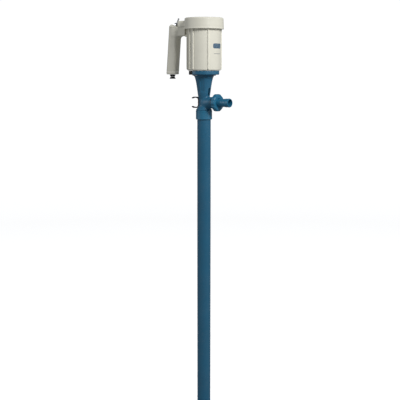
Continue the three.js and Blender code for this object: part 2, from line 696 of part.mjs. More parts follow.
/** The grip's section drawn up between two heights and leaned along its centre line. */
function gripColumn(inset, z0, z1) {
  const section = roundedRectangle(GRIP_DEPTH - 2 * inset, GRIP_WIDTH - 2 * inset, 11 - inset);
  const column = new THREE.ExtrudeGeometry(section, {
    depth: z1 - z0, bevelEnabled: false, curveSegments: 5,
  });
  const slope = (GRIP_TOP_X - GRIP_BOTTOM_X) / (gripTopZ - GRIP_BOTTOM_Z);
  const lean = new THREE.Matrix4().makeShear(0, 0, 0, 0, slope, 0);
  return solid(column.translate(0, 0, z0).applyMatrix4(lean).translate(gripCentre(0), 0, 0));
}

/** A rounded rectangle centred on the origin. */
function roundedRectangle(length, width, radius) {
  const x = length / 2 - radius;
  const y = width / 2 - radius;
  const shape = new THREE.Shape();
  shape.absarc(x, y, radius, 0, Math.PI / 2);
  shape.absarc(-x, y, radius, Math.PI / 2, Math.PI);
  shape.absarc(-x, -y, radius, Math.PI, 1.5 * Math.PI);
  shape.absarc(x, -y, radius, 1.5 * Math.PI, 2 * Math.PI);
  return shape;
}

/** The web's outline in X and Z, from inside the grip to the motor, moved in by an inset. */
function webOutline(inset) {
  const arch = 10 + inset;
  const grip = gripCentre(webBottomZ) + GRIP_DEPTH / 2 - inset;
  const shape = new THREE.Shape();
  shape.moveTo(webEndX - inset, ARM_SPLIT_Z - GAP - inset);
  shape.lineTo(GRIP_TOP_X, ARM_SPLIT_Z - GAP - inset);
  shape.lineTo(GRIP_TOP_X, webBottomZ + inset - arch);
  shape.lineTo(grip - 1, webBottomZ + inset - arch);
  shape.quadraticCurveTo(grip, webBottomZ + inset, grip + arch, webBottomZ + inset);
  shape.lineTo(webEndX - inset, webBottomZ + inset);
  return shape;
}

const gripScrewPlaces = [[-80, 270], [gripCentre(176), 176]];

/** A round bar along +Y through a grip screw's place, between two depths. */
function crossBar([x, z], radius, y0, y1) {
  return solid(bar(radius, y0, y1, 16).rotateX(-Math.PI / 2).translate(x, 0, z));
}

/** The right half of the handle, open towards the left half, with its screw bosses. */
function handleShell() {
  const half = GRIP_WIDTH / 2;
  const top = ARM_SPLIT_Z - GAP;
  const webHalf = half - 1;
  const whole = gripColumn(0, capTopZ, top).add(solid(slab(webOutline(0), -webHalf, webHalf)));
  const side = solid(block([-160, GAP / 2, 120], [-40, half + 1, 300]));
  const gripHollow = gripColumn(HANDLE_WALL, capTopZ + HANDLE_WALL, top - HANDLE_WALL);
  const webHollow = solid(slab(webOutline(HANDLE_WALL), -1, webHalf - HANDLE_WALL));
  const shell = cut(whole.intersect(side), [gripHollow, webHollow]);
  const bosses = gripScrewPlaces.map((place) => crossBar(place, 4.2, GAP / 2, half - 2));
  const holes = gripScrewPlaces.map((place) => crossBar(place, 1.9, -1, half - 3));
  return cut(joined([shell, ...bosses]), [...holes, switchHole()]);
}

/** The right half, with seats for the screw heads. */
function rightShell() {
  const seats = gripScrewPlaces.flatMap((place) => [
    crossBar(place, 3.9, GRIP_WIDTH / 2 - 3.2, GRIP_WIDTH / 2 + 2),
    crossBar(place, 1.9, 0, GRIP_WIDTH / 2),
  ]);
  return piece('handle_shell_right', cut(handleShell(), seats), MATERIALS.cream);
}

/** The left half: the same shell mirrored, with blind screw holes. */
function leftShell() {
  const mesh = piece('handle_shell_left', handleShell(), MATERIALS.cream);
  mesh.geometry.applyMatrix4(new THREE.Matrix4().makeScale(1, -1, 1));
  mesh.geometry.index.array.reverse();
  mesh.geometry.computeVertexNormals();
  return mesh;
}

function gripEndCap() {
  const height = capTopZ - GAP - GRIP_BOTTOM_Z;
  const body = new THREE.ExtrudeGeometry(roundedRectangle(GRIP_DEPTH, GRIP_WIDTH, 11), {
    depth: height, curveSegments: 5, bevelEnabled: false,
  }).translate(gripCentre(GRIP_BOTTOM_Z + 4), 0, GRIP_BOTTOM_Z);
  const hole = bar(5, GRIP_BOTTOM_Z - 5, capTopZ + 5).translate(gripCentre(GRIP_BOTTOM_Z), 0, 0);
  return solid(body).subtract(solid(hole));
}

/** The hexagonal nut and its washer that hold the switch to its seat. */
function switchNut() {
  const washer = solid(onSeat(ring(6, 10, GAP, 1.6, 18)));
  const hexagon = solid(onSeat(ring(6.9, 9.2, 1.2, 5.4, 6)));
  return washer.add(hexagon);
}

function handleGroup() {
  const group = new THREE.Group();
  const glandX = gripCentre(GRIP_BOTTOM_Z);
  const glandTop = GRIP_BOTTOM_Z - GAP;
  const nut = turned([
    [4.2, glandTop - 6], [6.6, glandTop - 6], [8.6, glandTop - 3.4], [9.2, glandTop],
    [4.2, glandTop],
  ], { closed: true, sides: 24 }).translate(glandX, 0, 0);
  const gland = turned([
    [3.8, glandTop - 13.5], [9.3, glandTop - 13.5], [9.2, glandTop - 12], [7, glandTop - 8.6],
    [6.4, glandTop - 6 - GAP], [3.8, glandTop - 6 - GAP],
  ], { closed: true, sides: 24 }).translate(glandX, 0, 0);
  const box = solid(onSeat(block([-3, -6, -30], [11, 6, -14])));
  const bush = solid(onSeat(bar(5.6, -14, 8)));
  const mouth = solid(onSeat(bar(3.4, 2, 12)));
  const lever = turned([
    [0, 0], [1.5, 0.4], [1.6, 6], [2.6, 17], [2.5, 19.6], [1.4, 21], [0, 21.2],
  ], { sides: 16 });
  lever.rotateY(rad(LEVER_LEAN)).translate(0, 0, 4);
  const wideMouth = solid(onSeat(turned([[0, 3], [5, 9], [0, 9]], { sides: 20 })));
  group.add(
    leftShell(),
    rightShell(),
    piece('grip_end_cap', gripEndCap(), MATERIALS.cream),
    piece('gland_nut', solid(nut), MATERIALS.black),
    piece('cable_gland', solid(gland), MATERIALS.black),
    piece('switch_body', cut(box.add(bush), [mouth, wideMouth]), MATERIALS.black),
    piece('switch_nut', switchNut(), MATERIALS.chrome),
    piece('toggle_lever', solid(onSeat(lever)), MATERIALS.chrome),
  );
  gripScrewPlaces.forEach(([x, z], i) => {
    const bolt = screw(3.4, 1.8, 1.6, 20).rotateX(Math.PI / 2);
    bolt.translate(x, GRIP_WIDTH / 2 - 2.3, z);
    group.add(piece(`grip_screw_${i + 1}`, solid(bolt), MATERIALS.steel));
  });
  return group;
}

// ---------------------------------------------------------------- assembly

const drumPump = new THREE.Group();
drumPump.add(tubeGroup(), headGroup(), motorGroup(), handleGroup());

export default drumPump;
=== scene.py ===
"""An electric drum pump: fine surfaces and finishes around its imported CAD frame.

Lengths are worked out in millimetres and written to the meshes in metres. The frame's origin is
on the tube's axis at the underside of the tube nut, +Z up, +X along the discharge branch.
"""

import sys

import json
import logging
import math
from dataclasses import dataclass
from enum import Enum
from typing import Callable, Optional, Sequence, Union

import bmesh
import bpy
import numpy as np
from mathutils import Matrix, Vector


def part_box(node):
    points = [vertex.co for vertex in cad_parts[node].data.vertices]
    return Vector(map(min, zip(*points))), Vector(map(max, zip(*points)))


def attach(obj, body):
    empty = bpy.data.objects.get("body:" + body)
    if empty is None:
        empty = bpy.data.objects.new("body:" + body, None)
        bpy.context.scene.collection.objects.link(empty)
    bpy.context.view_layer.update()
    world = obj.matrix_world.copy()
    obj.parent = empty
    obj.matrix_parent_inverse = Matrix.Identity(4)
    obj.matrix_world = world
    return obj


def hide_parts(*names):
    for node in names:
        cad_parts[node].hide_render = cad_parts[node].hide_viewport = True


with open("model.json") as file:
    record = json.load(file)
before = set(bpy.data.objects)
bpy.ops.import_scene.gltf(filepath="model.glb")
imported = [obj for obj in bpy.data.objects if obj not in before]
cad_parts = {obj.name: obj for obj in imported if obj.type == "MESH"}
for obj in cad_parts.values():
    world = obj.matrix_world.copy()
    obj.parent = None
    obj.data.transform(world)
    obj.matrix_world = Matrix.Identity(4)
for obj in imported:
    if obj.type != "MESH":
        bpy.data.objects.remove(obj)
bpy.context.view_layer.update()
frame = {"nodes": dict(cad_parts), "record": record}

LOG = logging.getLogger("drum_pump")
MM = 0.001
TURN = 2 * math.pi

Point2 = tuple[float, float]
Colour = tuple[float, float, float]
Field = Callable[[np.ndarray], np.ndarray]


# ------------------------------------------------------------------ shader arithmetic


class Value:
    """A shader socket that takes part in ordinary arithmetic."""

    def __init__(self, shader: "Shader", socket: bpy.types.NodeSocket) -> None:
        """Keeps the socket and the shader it belongs to."""
        self.shader = shader
        self.socket = socket

    def _maths(self, operation: str, first: "Input", second: "Input") -> "Value":
        """Adds one Math node for an operation on two values."""
        return self.shader.node("Math", {"operation": operation}, {0: first, 1: second})

    def __add__(self, other: "Input") -> "Value":
        """Returns self + other."""
        return self._maths("ADD", self, other)

    def __radd__(self, other: "Input") -> "Value":
        """Returns other + self."""
        return self._maths("ADD", other, self)

    def __sub__(self, other: "Input") -> "Value":
        """Returns self - other."""
        return self._maths("SUBTRACT", self, other)

    def __rsub__(self, other: "Input") -> "Value":
        """Returns other - self."""
        return self._maths("SUBTRACT", other, self)

    def __mul__(self, other: "Input") -> "Value":
        """Returns self * other."""
        return self._maths("MULTIPLY", self, other)

    def __rmul__(self, other: "Input") -> "Value":
        """Returns other * self."""
        return self._maths("MULTIPLY", other, self)

    def __pow__(self, other: "Input") -> "Value":
        """Returns self to the power of other."""
        return self._maths("POWER", self, other)


Input = Union[float, Sequence[float], Value]


class Shader:
    """A material's node tree, and the one method that adds nodes to it."""

    def __init__(self, name: str) -> None:
        """Makes an empty material with one Principled surface.

        Args:
            name: the material's name.
        """
        self.material = bpy.data.materials.new(name)
        self.material.use_nodes = True
        self.tree = self.material.node_tree
        self.surface = self.tree.nodes["Principled BSDF"]
        self.place = self.node("TexCoord", output="Object")

    def node(
        self,
        kind: str,
        settings: Optional[dict[str, object]] = None,
        inputs: Optional[dict[Union[int, str], Input]] = None,
        output: Union[int, str] = 0,
    ) -> Value:
        """Adds a shader node.

        Args:
            kind: the node's type, without its ShaderNode prefix.
            settings: the node's own settings.
            inputs: values or links for its sockets, by index or name.
            output: the socket to hand back.

        Returns:
            The chosen output as a value.
        """
        made = self.tree.nodes.new("ShaderNode" + kind)
        for key, setting in (settings or {}).items():
            setattr(made, key, setting)
        for key, value in (inputs or {}).items():
            self._feed(made.inputs[key], value)
        return Value(self, made.outputs[output])

    def feed(self, **inputs: Input) -> None:
        """Sets sockets of the surface, with underscores for the spaces in their names."""
        for key, value in inputs.items():
            self._feed(self.surface.inputs[key.replace("_", " ")], value)

    def noise(self, scale: float, detail: float = 3.0, stretch: Point2 = (1, 1)) -> Value:
        """Noise on the object's coordinates.

        Args:
            scale: cells per metre.
            detail: octaves.
            stretch: how far the cells are squeezed across and along Z.

        Returns:
            The noise, about 0.5.
        """
        across, along = stretch
        mapped = self.node(
            "Mapping", {}, {"Vector": self.place, "Scale": (across, across, along)}
        )
        return self.node(
            "TexNoise", {}, {"Vector": mapped, "Scale": scale, "Detail": detail}
        )

    def blend(self, factor: Input, first: Input, second: Input) -> Value:
        """Mixes two colours.

        Args:
            factor: how much of the second colour.
            first: the first colour.
            second: the second colour.

        Returns:
            The mixed colour.
        """
        return self.node(
            "Mix", {"data_type": "RGBA"}, {"Factor": factor, 6: first, 7: second}, 2
        )

    def relief(self, height: Value, depth: float, under: Optional[Value] = None) -> Value:
        """A bump of a given depth in metres, on top of another one if given.

        Args:
            height: the height, from 0 to 1.
            depth: the depth of the relief.
            under: a bump that lies under this one.

        Returns:
            The bent normal.
        """
        inputs: dict[Union[int, str], Input] = {"Height": height, "Distance": depth}
        if under is not None:
            inputs["Normal"] = under
        return self.node("Bump", {}, inputs)

    def _feed(self, socket: bpy.types.NodeSocket, value: Input) -> None:
        """Links or sets one socket.

        Args:
            socket: the socket.
            value: a value to link, or a number or colour to set.
        """
        if isinstance(value, Value):
            self.tree.links.new(value.socket, socket)
        elif isinstance(value, (int, float)):
            socket.default_value = value
        else:
            room = len(socket.default_value)
            socket.default_value = (*value, 1.0) if room == 4 and len(value) == 3 else tuple(value)


def shaded(colour: Colour, factor: float) -> Colour:
    """A colour made darker or lighter by a factor."""
    return tuple(min(1.0, channel * factor) for channel in colour)


# ------------------------------------------------------------------ finishes


@dataclass(frozen=True)
class Moulded:
    """A moulded plastic with a fine spark-eroded grain and slow changes of tone."""

    name: str
    colour: Colour
    roughness: float = 0.45
    grain: float = 0.00006
    grain_size: float = 0.0011
    mottle: float = 0.06
    grime: float = 0.10

    def material(self) -> bpy.types.Material:
        """Builds the material.

        Returns:
            The material.
        """
        shader = Shader(self.name)
        slow = shader.noise(14, 4)
        fine = shader.noise(1 / self.grain_size, 2)
        smudge = shader.noise(55, 5) ** 3
        tone = shader.blend(
            slow, shaded(self.colour, 1 - self.mottle), shaded(self.colour, 1 + self.mottle)
        )
        tone = shader.blend(smudge * (self.grime * 2), tone, shaded(self.colour, 0.55))
        shader.feed(
            Base_Color=tone,
            Roughness=self.roughness + 0.16 * (slow - 0.5) + 0.3 * smudge,
            Normal=shader.relief(fine, self.grain, shader.relief(slow, self.grain * 1.5)),
            Specular_IOR_Level=0.45,
        )
        return shader.material


@dataclass(frozen=True)
class Polypropylene:
    """A waxy coloured polypropylene with faint draw lines and light rubbing marks."""

    name: str
    colour: Colour
    roughness: float = 0.34
    draw: float = 0.00003
    rub: float = 0.16

    def material(self) -> bpy.types.Material:
        """Builds the material.

        Returns:
            The material.
        """
        shader = Shader(self.name)
        slow = shader.noise(9, 4)
        lines = shader.noise(420, 3, (1, 0.012))
        scuffs = shader.noise(900, 4, (0.15, 1)) ** 4
        patches = shader.noise(26, 3) ** 2
        tone = shader.blend(slow, shaded(self.colour, 0.86), shaded(self.colour, 1.16))
        pale = tuple(0.55 * channel + 0.12 for channel in self.colour)
        tone = shader.blend(scuffs * patches * (self.rub * 16), tone, pale)
        shader.feed(
            Base_Color=tone,
            Roughness=self.roughness + 0.2 * (slow - 0.5) + 0.12 * (lines - 0.5) + 0.5 * scuffs,
            Normal=shader.relief(lines, self.draw, shader.relief(slow, self.draw * 4)),
            Specular_IOR_Level=0.42,
        )
        return shader.material


@dataclass(frozen=True)
class Metal:
    """A bare or plated metal with machining marks along or around it."""

    name: str
    colour: Colour
    roughness: float = 0.3
    marks: Point2 = (1, 1)
    pitch: float = 0.0006
    tarnish: float = 0.25

    def material(self) -> bpy.types.Material:
        """Builds the material.

        Returns:
            The material.
        """
        shader = Shader(self.name)
        slow = shader.noise(60, 4)
        fine = shader.noise(1 / self.pitch, 3, self.marks)
        stain = shader.noise(150, 5) ** 3
        tone = shader.blend(slow, shaded(self.colour, 0.9), shaded(self.colour, 1.1))
        tone = shader.blend(stain * self.tarnish, tone, shaded(self.colour, 0.4))
        shader.feed(
            Base_Color=tone,
            Metallic=1.0,
            Roughness=self.roughness + 0.16 * (fine - 0.5) + 0.3 * stain,
            Normal=shader.relief(fine, 0.00001),
        )
        return shader.material


class Grain(Enum):
    """Which way a layered finish is stacked."""

    LAYERS = "Z"
    STRANDS = "DIAGONAL"


@dataclass(frozen=True)
class Layered:
    """Stacked laminations or wound wire: fine bands with a varnish over them."""

    name: str
    colour: Colour
    grain: Grain
    pitch: float = 0.0009
    metallic: float = 0.8

    def material(self) -> bpy.types.Material:
        """Builds the material.

        Returns:
            The material.
        """
        shader = Shader(self.name)
        bands = shader.node(
            "TexWave",
            {"bands_direction": self.grain.value},
            {"Vector": shader.place, "Scale": 0.31 / self.pitch, "Distortion": 1.5},
            "Fac",
        )
        slow = shader.noise(45, 4)
        tone = shader.blend(bands, shaded(self.colour, 0.6), shaded(self.colour, 1.15))
        tone = shader.blend(slow * 0.4, tone, shaded(self.colour, 0.45))
        shader.feed(
            Base_Color=tone,
            Metallic=self.metallic,
            Roughness=0.36 + 0.25 * slow,
            Normal=shader.relief(bands, 0.00012),
            Coat_Weight=0.3,
        )
        return shader.material


@dataclass(frozen=True)
class Printed:
    """A pad-printed ink, a little worn, on the motor's plastic."""

    name: str
    colour: Colour
    bare: Colour

    def material(self) -> bpy.types.Material:
        """Builds the material.

        Returns:
            The material.
        """
        shader = Shader(self.name)
        worn = shader.noise(700, 4) ** 5
        slow = shader.noise(80, 2)
        tone = shader.blend(slow, shaded(self.colour, 0.85), shaded(self.colour, 1.15))
        shader.feed(
            Base_Color=shader.blend(worn * 2.5, tone, self.bare),
            Roughness=0.4 + 0.2 * slow,
            Normal=shader.relief(worn, 0.00003),
        )
        return shader.material


CREAM: Colour = (0.72, 0.70, 0.60)
BLUE: Colour = (0.014, 0.112, 0.205)


class Finishes:
    """Every finish of the pump, built once."""

    def __init__(self) -> None:
        """Builds the materials."""
        self.cream = Moulded("cream_moulding", CREAM, 0.46).material()
        self.blue = Polypropylene("blue_polypropylene", BLUE).material()
        self.blue_bright = Polypropylene(
            "blue_fittings", (0.014, 0.140, 0.250), 0.30
        ).material()
        self.black = Moulded("black_nylon", (0.012, 0.012, 0.013), 0.5, mottle=0.2).material()
        self.rubber = Moulded(
            "seal_rubber", (0.016, 0.016, 0.017), 0.75, grain_size=0.0005
        ).material()
        self.natural = Moulded("natural_plastic", (0.70, 0.68, 0.61), 0.4).material()
        self.carbon = Moulded("carbon", (0.025, 0.025, 0.027), 0.55, mottle=0.3).material()
        self.chrome = Metal("chrome_plate", (0.66, 0.67, 0.69), 0.09, tarnish=0.1).material()
        self.steel = Metal("ground_steel", (0.46, 0.47, 0.49), 0.3, (1, 0.02)).material()
        self.spring = Metal("blackened_spring", (0.030, 0.030, 0.036), 0.34).material()
        self.alloy = Metal("cast_alloy", (0.42, 0.43, 0.44), 0.5, pitch=0.0015).material()
        self.brass = Metal("pressed_brass", (0.58, 0.40, 0.15), 0.33).material()
        self.iron = Layered("laminations", (0.16, 0.16, 0.17), Grain.LAYERS).material()
        self.copper = Layered("windings", (0.56, 0.22, 0.09), Grain.STRANDS).material()
        self.blue_ink = Printed("blue_ink", (0.012, 0.085, 0.17), CREAM).material()
        self.grey_ink = Printed("grey_ink", (0.20, 0.21, 0.22), CREAM).material()
        self.by_slot = {
            "cream_plastic": self.cream,
            "blue_plastic": self.blue,
            "black_plastic": self.black,
            "chrome": self.chrome,
            "seal_rubber": self.rubber,
            "natural_plastic": self.natural,
            "carbon": self.carbon,
            "steel": self.steel,
            "spring_steel": self.spring,
            "cast_alloy": self.alloy,
            "lamination": self.iron,
            "copper": self.copper,
            "brass": self.brass,
        }


# ------------------------------------------------------------------ shapes


@dataclass(frozen=True)
class Extent:
    """A CAD node's box at rest, in millimetres."""

    low: Vector
    high: Vector

    @classmethod
    def of(cls, node: str) -> "Extent":
        """Reads a node's box from the frame."""
        low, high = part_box(node)
        return cls(Vector(low) / MM, Vector(high) / MM)

    @property
    def radius(self) -> float:
        """Half the larger of the two widths across Z."""
        return max(self.high.x - self.low.x, self.high.y - self.low.y) / 2


class Cut(Enum):
    """How one closed shape works on another."""

    ADD = "UNION"
    TAKE = "DIFFERENCE"
    KEEP = "INTERSECT"


def made(
    name: str, points: np.ndarray, faces: Sequence[Sequence[int]], sharp: float = 32
) -> bpy.types.Object:
    """Makes a mesh object from points in millimetres.

    Args:
        name: the object's name.
        points: one row for each vertex.
        faces: vertex numbers of each face, counter-clockwise from outside.
        sharp: edges that turn by more than this many degrees stay sharp.

    Returns:
        The object, at the origin.
    """
    mesh = bpy.data.meshes.new(name)
    mesh.from_pydata((points * MM).tolist(), [], faces)
    piece = bpy.data.objects.new(name, mesh)
    bpy.context.scene.collection.objects.link(piece)
    return smoothed(piece, sharp)


def smoothed(piece: bpy.types.Object, sharp: float = 32) -> bpy.types.Object:
    """Shades a piece smooth apart from its sharp edges.

    Args:
        piece: the piece.
        sharp: the angle in degrees past which an edge stays sharp.

    Returns:
        The same piece.
    """
    piece.data.polygons.foreach_set("use_smooth", [True] * len(piece.data.polygons))
    piece.data.set_sharp_from_angle(angle=math.radians(sharp))
    piece.data.update()
    return piece


def repaired(piece: bpy.types.Object, merge: float = 0.004, sharp: float = 32) -> bpy.types.Object:
    """Merges doubles and turns every face outwards.

    Args:
        piece: the piece.
        merge: how near two points are merged, in millimetres.
        sharp: the angle in degrees past which an edge stays sharp.

    Returns:
        The same piece.
    """
    sheet = bmesh.new()
    sheet.from_mesh(piece.data)
    bmesh.ops.remove_doubles(sheet, verts=sheet.verts, dist=merge * MM)
    bmesh.ops.dissolve_degenerate(sheet, edges=sheet.edges, dist=merge * MM / 4)
    bmesh.ops.recalc_face_normals(sheet, faces=sheet.faces)
    sheet.to_mesh(piece.data)
    sheet.free()
    return smoothed(piece, sharp)


def settled(piece: bpy.types.Object) -> bpy.types.Object:
    """Turns a piece's modifiers into plain mesh.

    Args:
        piece: the piece.

    Returns:
        The same piece.
    """
    graph = bpy.context.evaluated_depsgraph_get()
    mesh = bpy.data.meshes.new_from_object(piece.evaluated_get(graph))
    mesh.materials.clear()
    piece.modifiers.clear()
    piece.data = mesh
    return piece


def worked(piece: bpy.types.Object, how: Cut, *tools: bpy.types.Object) -> bpy.types.Object:
    """Joins to, cuts from or keeps of a piece the shapes of its tools, which are used up.

    Args:
        piece: the piece.
        how: add, take or keep.
        tools: the shapes to work with.

    Returns:
        The same piece.
    """
    for tool in tools:
        step = piece.modifiers.new("step", "BOOLEAN")
        step.operation = how.value
        step.solver = "MANIFOLD"
        step.object = tool
    settled(piece)
    for tool in tools:
        bpy.data.objects.remove(tool)
    return smoothed(piece)


def bevelled(piece: bpy.types.Object, width: float, segments: int = 3, angle: float = 35) -> bpy.types.Object:
    """Rounds a piece's sharp edges by a width in millimetres.

    Args:
        piece: the piece.
        width: the bevel's width.
        segments: steps across the bevel.
        angle: the angle in degrees past which an edge is rounded.

    Returns:
        The same piece.
    """
    step = piece.modifiers.new("edges", "BEVEL")
    step.width = width * MM
    step.segments = segments
    step.limit_method = "ANGLE"
    step.angle_limit = math.radians(angle)
    step.harden_normals = False
    return smoothed(settled(piece), 40)


def moved(piece: bpy.types.Object, matrix: Matrix) -> bpy.types.Object:
    """Moves a piece's mesh by a matrix in millimetres.

    Args:
        piece: the piece.
        matrix: the move.

    Returns:
        The same piece.
    """
    scale = Matrix.Scale(MM, 4)
    piece.data.transform(scale @ matrix @ scale.inverted())
    piece.data.update()
    return piece


def rounded(points: Sequence[Point2], radius: float, steps: int = 4, closed: bool = True) -> list[Point2]:
    """Rounds the corners of an outline.

    Args:
        points: the outline's corners.
        radius: the corner radius, less where a side is too short for it.
        steps: segments in each corner.
        closed: whether the last corner joins the first.

    Returns:
        The rounded outline.
    """
    result: list[Point2] = []
    count = len(points)
    for i, corner in enumerate(points):
        here = Vector(corner)
        before = Vector(points[i - 1]) - here
        after = Vector(points[(i + 1) % count]) - here
        ends = not closed and i in (0, count - 1)
        if ends or before.length < 1e-6 or after.length < 1e-6:
            result.append(tuple(here))
            continue
        half = before.angle(after) / 2
        if half > math.radians(86):
            result.append(tuple(here))
            continue
        reach = min(radius / math.tan(half), before.length * 0.45, after.length * 0.45)
        start = here + before.normalized() * reach
        end = here + after.normalized() * reach
        for k in range(steps + 1):
            t = k / steps
            point = start * (1 - t) ** 2 + here * (2 * t * (1 - t)) + end * t**2
            result.append(tuple(point))
    return result


def lofted(name: str, rings: np.ndarray, closed: bool = False, sharp: float = 32) -> bpy.types.Object:
    """Skins rings of points, each with the same count.

    Args:
        name: the object's name.
        rings: an array of rings by points by three.
        closed: whether the last ring joins the first, instead of both ends having a cap.
        sharp: see made().

    Returns:
        A closed shape.
    """
    levels, count = rings.shape[:2]
    faces: list[list[int]] = []
    for i in range(levels if closed else levels - 1):
        low, high = i * count, ((i + 1) % levels) * count
        for j in range(count):
            k = (j + 1) % count
            faces.append([low + j, low + k, high + k, high + j])
    if not closed:
        faces.append(list(range(count))[::-1])
        faces.append([(levels - 1) * count + j for j in range(count)])
    return repaired(made(name, rings.reshape(-1, 3), faces), sharp=sharp)


def turned(
    name: str,
    profile: Sequence[Point2],
    sides: int = 128,
    hollow: bool = False,
    edge: float = 0.5,
    wave: Optional[Callable[[np.ndarray, float, float], np.ndarray]] = None,
    sharp: float = 32,
) -> bpy.types.Object:
    """Turns a profile of (radius, height) about Z.

    Args:
        name: the object's name.
        profile: corners of the profile, from bottom to top outside.
        sides: segments around.
        hollow: whether the profile is a loop clear of the axis.
        edge: the corner rounding.
        wave: gives the radii around for an array of angles, a radius and a height.
        sharp: see made().

    Returns:
        A closed shape.
    """
    outline = rounded(profile, edge, closed=hollow) if edge else list(profile)
    angles = np.arange(sides) * TURN / sides
    rings = []
    for radius, height in outline:
        radii = wave(angles, radius, height) if wave else np.full(sides, max(radius, 0.0))
        level = np.full(sides, height)
        rings.append(np.stack([radii * np.cos(angles), radii * np.sin(angles), level], axis=1))
    return lofted(name, np.array(rings), closed=hollow, sharp=sharp)


def along_x(piece: bpy.types.Object, height: float) -> bpy.types.Object:
    """Lays a shape turned about Z along +X, at a height."""
    return moved(piece, Matrix.Translation((0, 0, height)) @ Matrix.Rotation(math.pi / 2, 4, "Y"))


def slab(name: str, outline: Sequence[Point2], low: float, high: float) -> bpy.types.Object:
    """A plate with an outline in X and Y between two heights.

    Args:
        name: the piece's name.
        outline: points in X and Y.
        low: its lower height.
        high: its upper height.

    Returns:
        The plate.
    """
    flat = np.array(outline)
    rings = [np.column_stack([flat, np.full(len(flat), z)]) for z in (low, high)]
    return lofted(name, np.array(rings))


def block(name: str, low: Sequence[float], high: Sequence[float], edge: float = 0) -> bpy.types.Object:
    """A block between two corners, its edges rounded.

    Args:
        name: the piece's name.
        low: the lowest corner.
        high: the highest corner.
        edge: the edges' radius.

    Returns:
        The block.
    """
    outline = [(low[0], low[1]), (high[0], low[1]), (high[0], high[1]), (low[0], high[1])]
    made_block = slab(name, outline, low[2], high[2])
    return bevelled(made_block, edge) if edge else made_block


def rounded_plan(length: float, width: float, radius: float, steps: int = 10) -> np.ndarray:
    """The outline of a rounded rectangle about the origin.

    Args:
        length: size along X.
        width: size along Y.
        radius: the corners' radius.
        steps: steps in each corner.

    Returns:
        The points, in order.
    """
    points = []
    for quarter, (sx, sy) in enumerate(((1, 1), (-1, 1), (-1, -1), (1, -1))):
        for k in range(steps + 1):
            angle = (quarter + k / steps) * math.pi / 2
            x = sx * (length / 2 - radius) + radius * math.cos(angle)
            y = sy * (width / 2 - radius) + radius * math.sin(angle)
            points.append((x, y))
    return np.array(points)


# ------------------------------------------------------------------ blended fields


def smooth_min(a: np.ndarray, b: np.ndarray, fillet: float) -> np.ndarray:
    """The union of two distances with a fillet between them."""
    h = np.clip(fillet - np.abs(a - b), 0, None) / fillet
    return np.minimum(a, b) - h * h * fillet / 4


def smooth_max(a: np.ndarray, b: np.ndarray, fillet: float) -> np.ndarray:
    """The overlap of two distances with a rounded edge between them."""
    return -smooth_min(-a, -b, fillet)


def smooth_step(low: float, high: float, x: np.ndarray) -> np.ndarray:
    """Rises smoothly from 0 at low to 1 at high."""
    t = np.clip((x - low) / (high - low), 0, 1)
    return t * t * (3 - 2 * t)


def box_distance(p: np.ndarray, low: Sequence[float], high: Sequence[float], edge: float) -> np.ndarray:
    """Distance to a box with rounded edges.

    Args:
        p: points, one to a row.
        low: the lowest corner.
        high: the highest corner.
        edge: the edges' radius.

    Returns:
        The distances, negative inside.
    """
    centre = (np.array(low) + np.array(high)) / 2
    half = (np.array(high) - np.array(low)) / 2 - edge
    q = np.abs(p - centre) - half
    outside = np.linalg.norm(np.clip(q, 0, None), axis=1)
    return outside + np.clip(q.max(axis=1), None, 0) - edge


def rounded_distance(x: np.ndarray, y: np.ndarray, half_x: float, half_y: float, corner: float) -> np.ndarray:
    """Distance to an upright column with a rounded rectangle as its plan.

    Args:
        x: X from the middle of the column.
        y: Y from the middle of the column.
        half_x: half its size along X.
        half_y: half its size along Y.
        corner: the corners' radius.

    Returns:
        The distances, negative inside.
    """
    dx = np.abs(x) - (half_x - corner)
    dy = np.abs(y) - (half_y - corner)
    outside = np.hypot(np.clip(dx, 0, None), np.clip(dy, 0, None))
    return outside + np.clip(np.maximum(dx, dy), None, 0) - corner


def drum_distance(
    p: np.ndarray, radius: Union[float, np.ndarray], low: float, high: float, edge: float
) -> np.ndarray:
    """Distance to a round drum about Z with rounded edges.

    Args:
        p: points, one to a row.
        radius: the drum's radius, or one for each point.
        low: its lower height.
        high: its upper height.
        edge: the edges' radius.

    Returns:
        The distances, negative inside.
    """
    across = np.hypot(p[:, 0], p[:, 1]) - (radius - edge)
    along = np.abs(p[:, 2] - (low + high) / 2) - ((high - low) / 2 - edge)
    outside = np.hypot(np.clip(across, 0, None), np.clip(along, 0, None))
    return outside + np.clip(np.maximum(across, along), None, 0) - edge


def sculpted(name: str, rough: Sequence[bpy.types.Object], field: Field, voxel: float) -> bpy.types.Object:
    """Wraps rough shapes in an even mesh and draws it onto a field's zero surface.

    Args:
        name: the object's name.
        rough: shapes near the surface, which are used up.
        field: the distance to the surface in millimetres.
        voxel: the mesh's spacing.

    Returns:
        A closed shape with its fillets.
    """
    body = worked(rough[0], Cut.ADD, *rough[1:])
    body.name = name
    step = body.modifiers.new("even", "REMESH")
    step.mode = "VOXEL"
    step.voxel_size = voxel * MM
    settled(body)
    count = len(body.data.vertices)
    points = np.empty(count * 3)
    body.data.vertices.foreach_get("co", points)
    points = points.reshape(-1, 3) / MM
    nudge = 0.05
    for _ in range(9):
        here = field(points)
        slope = np.stack(
            [(field(points + axis) - here) / nudge for axis in np.eye(3) * nudge], axis=1
        )
        size = np.clip((slope**2).sum(axis=1), 0.2, None)
        step_length = np.clip(here / size, -voxel, voxel)
        points -= slope * step_length[:, None]
    body.data.vertices.foreach_set("co", (points * MM).ravel())
    body.data.update()
    return smoothed(body, 50)


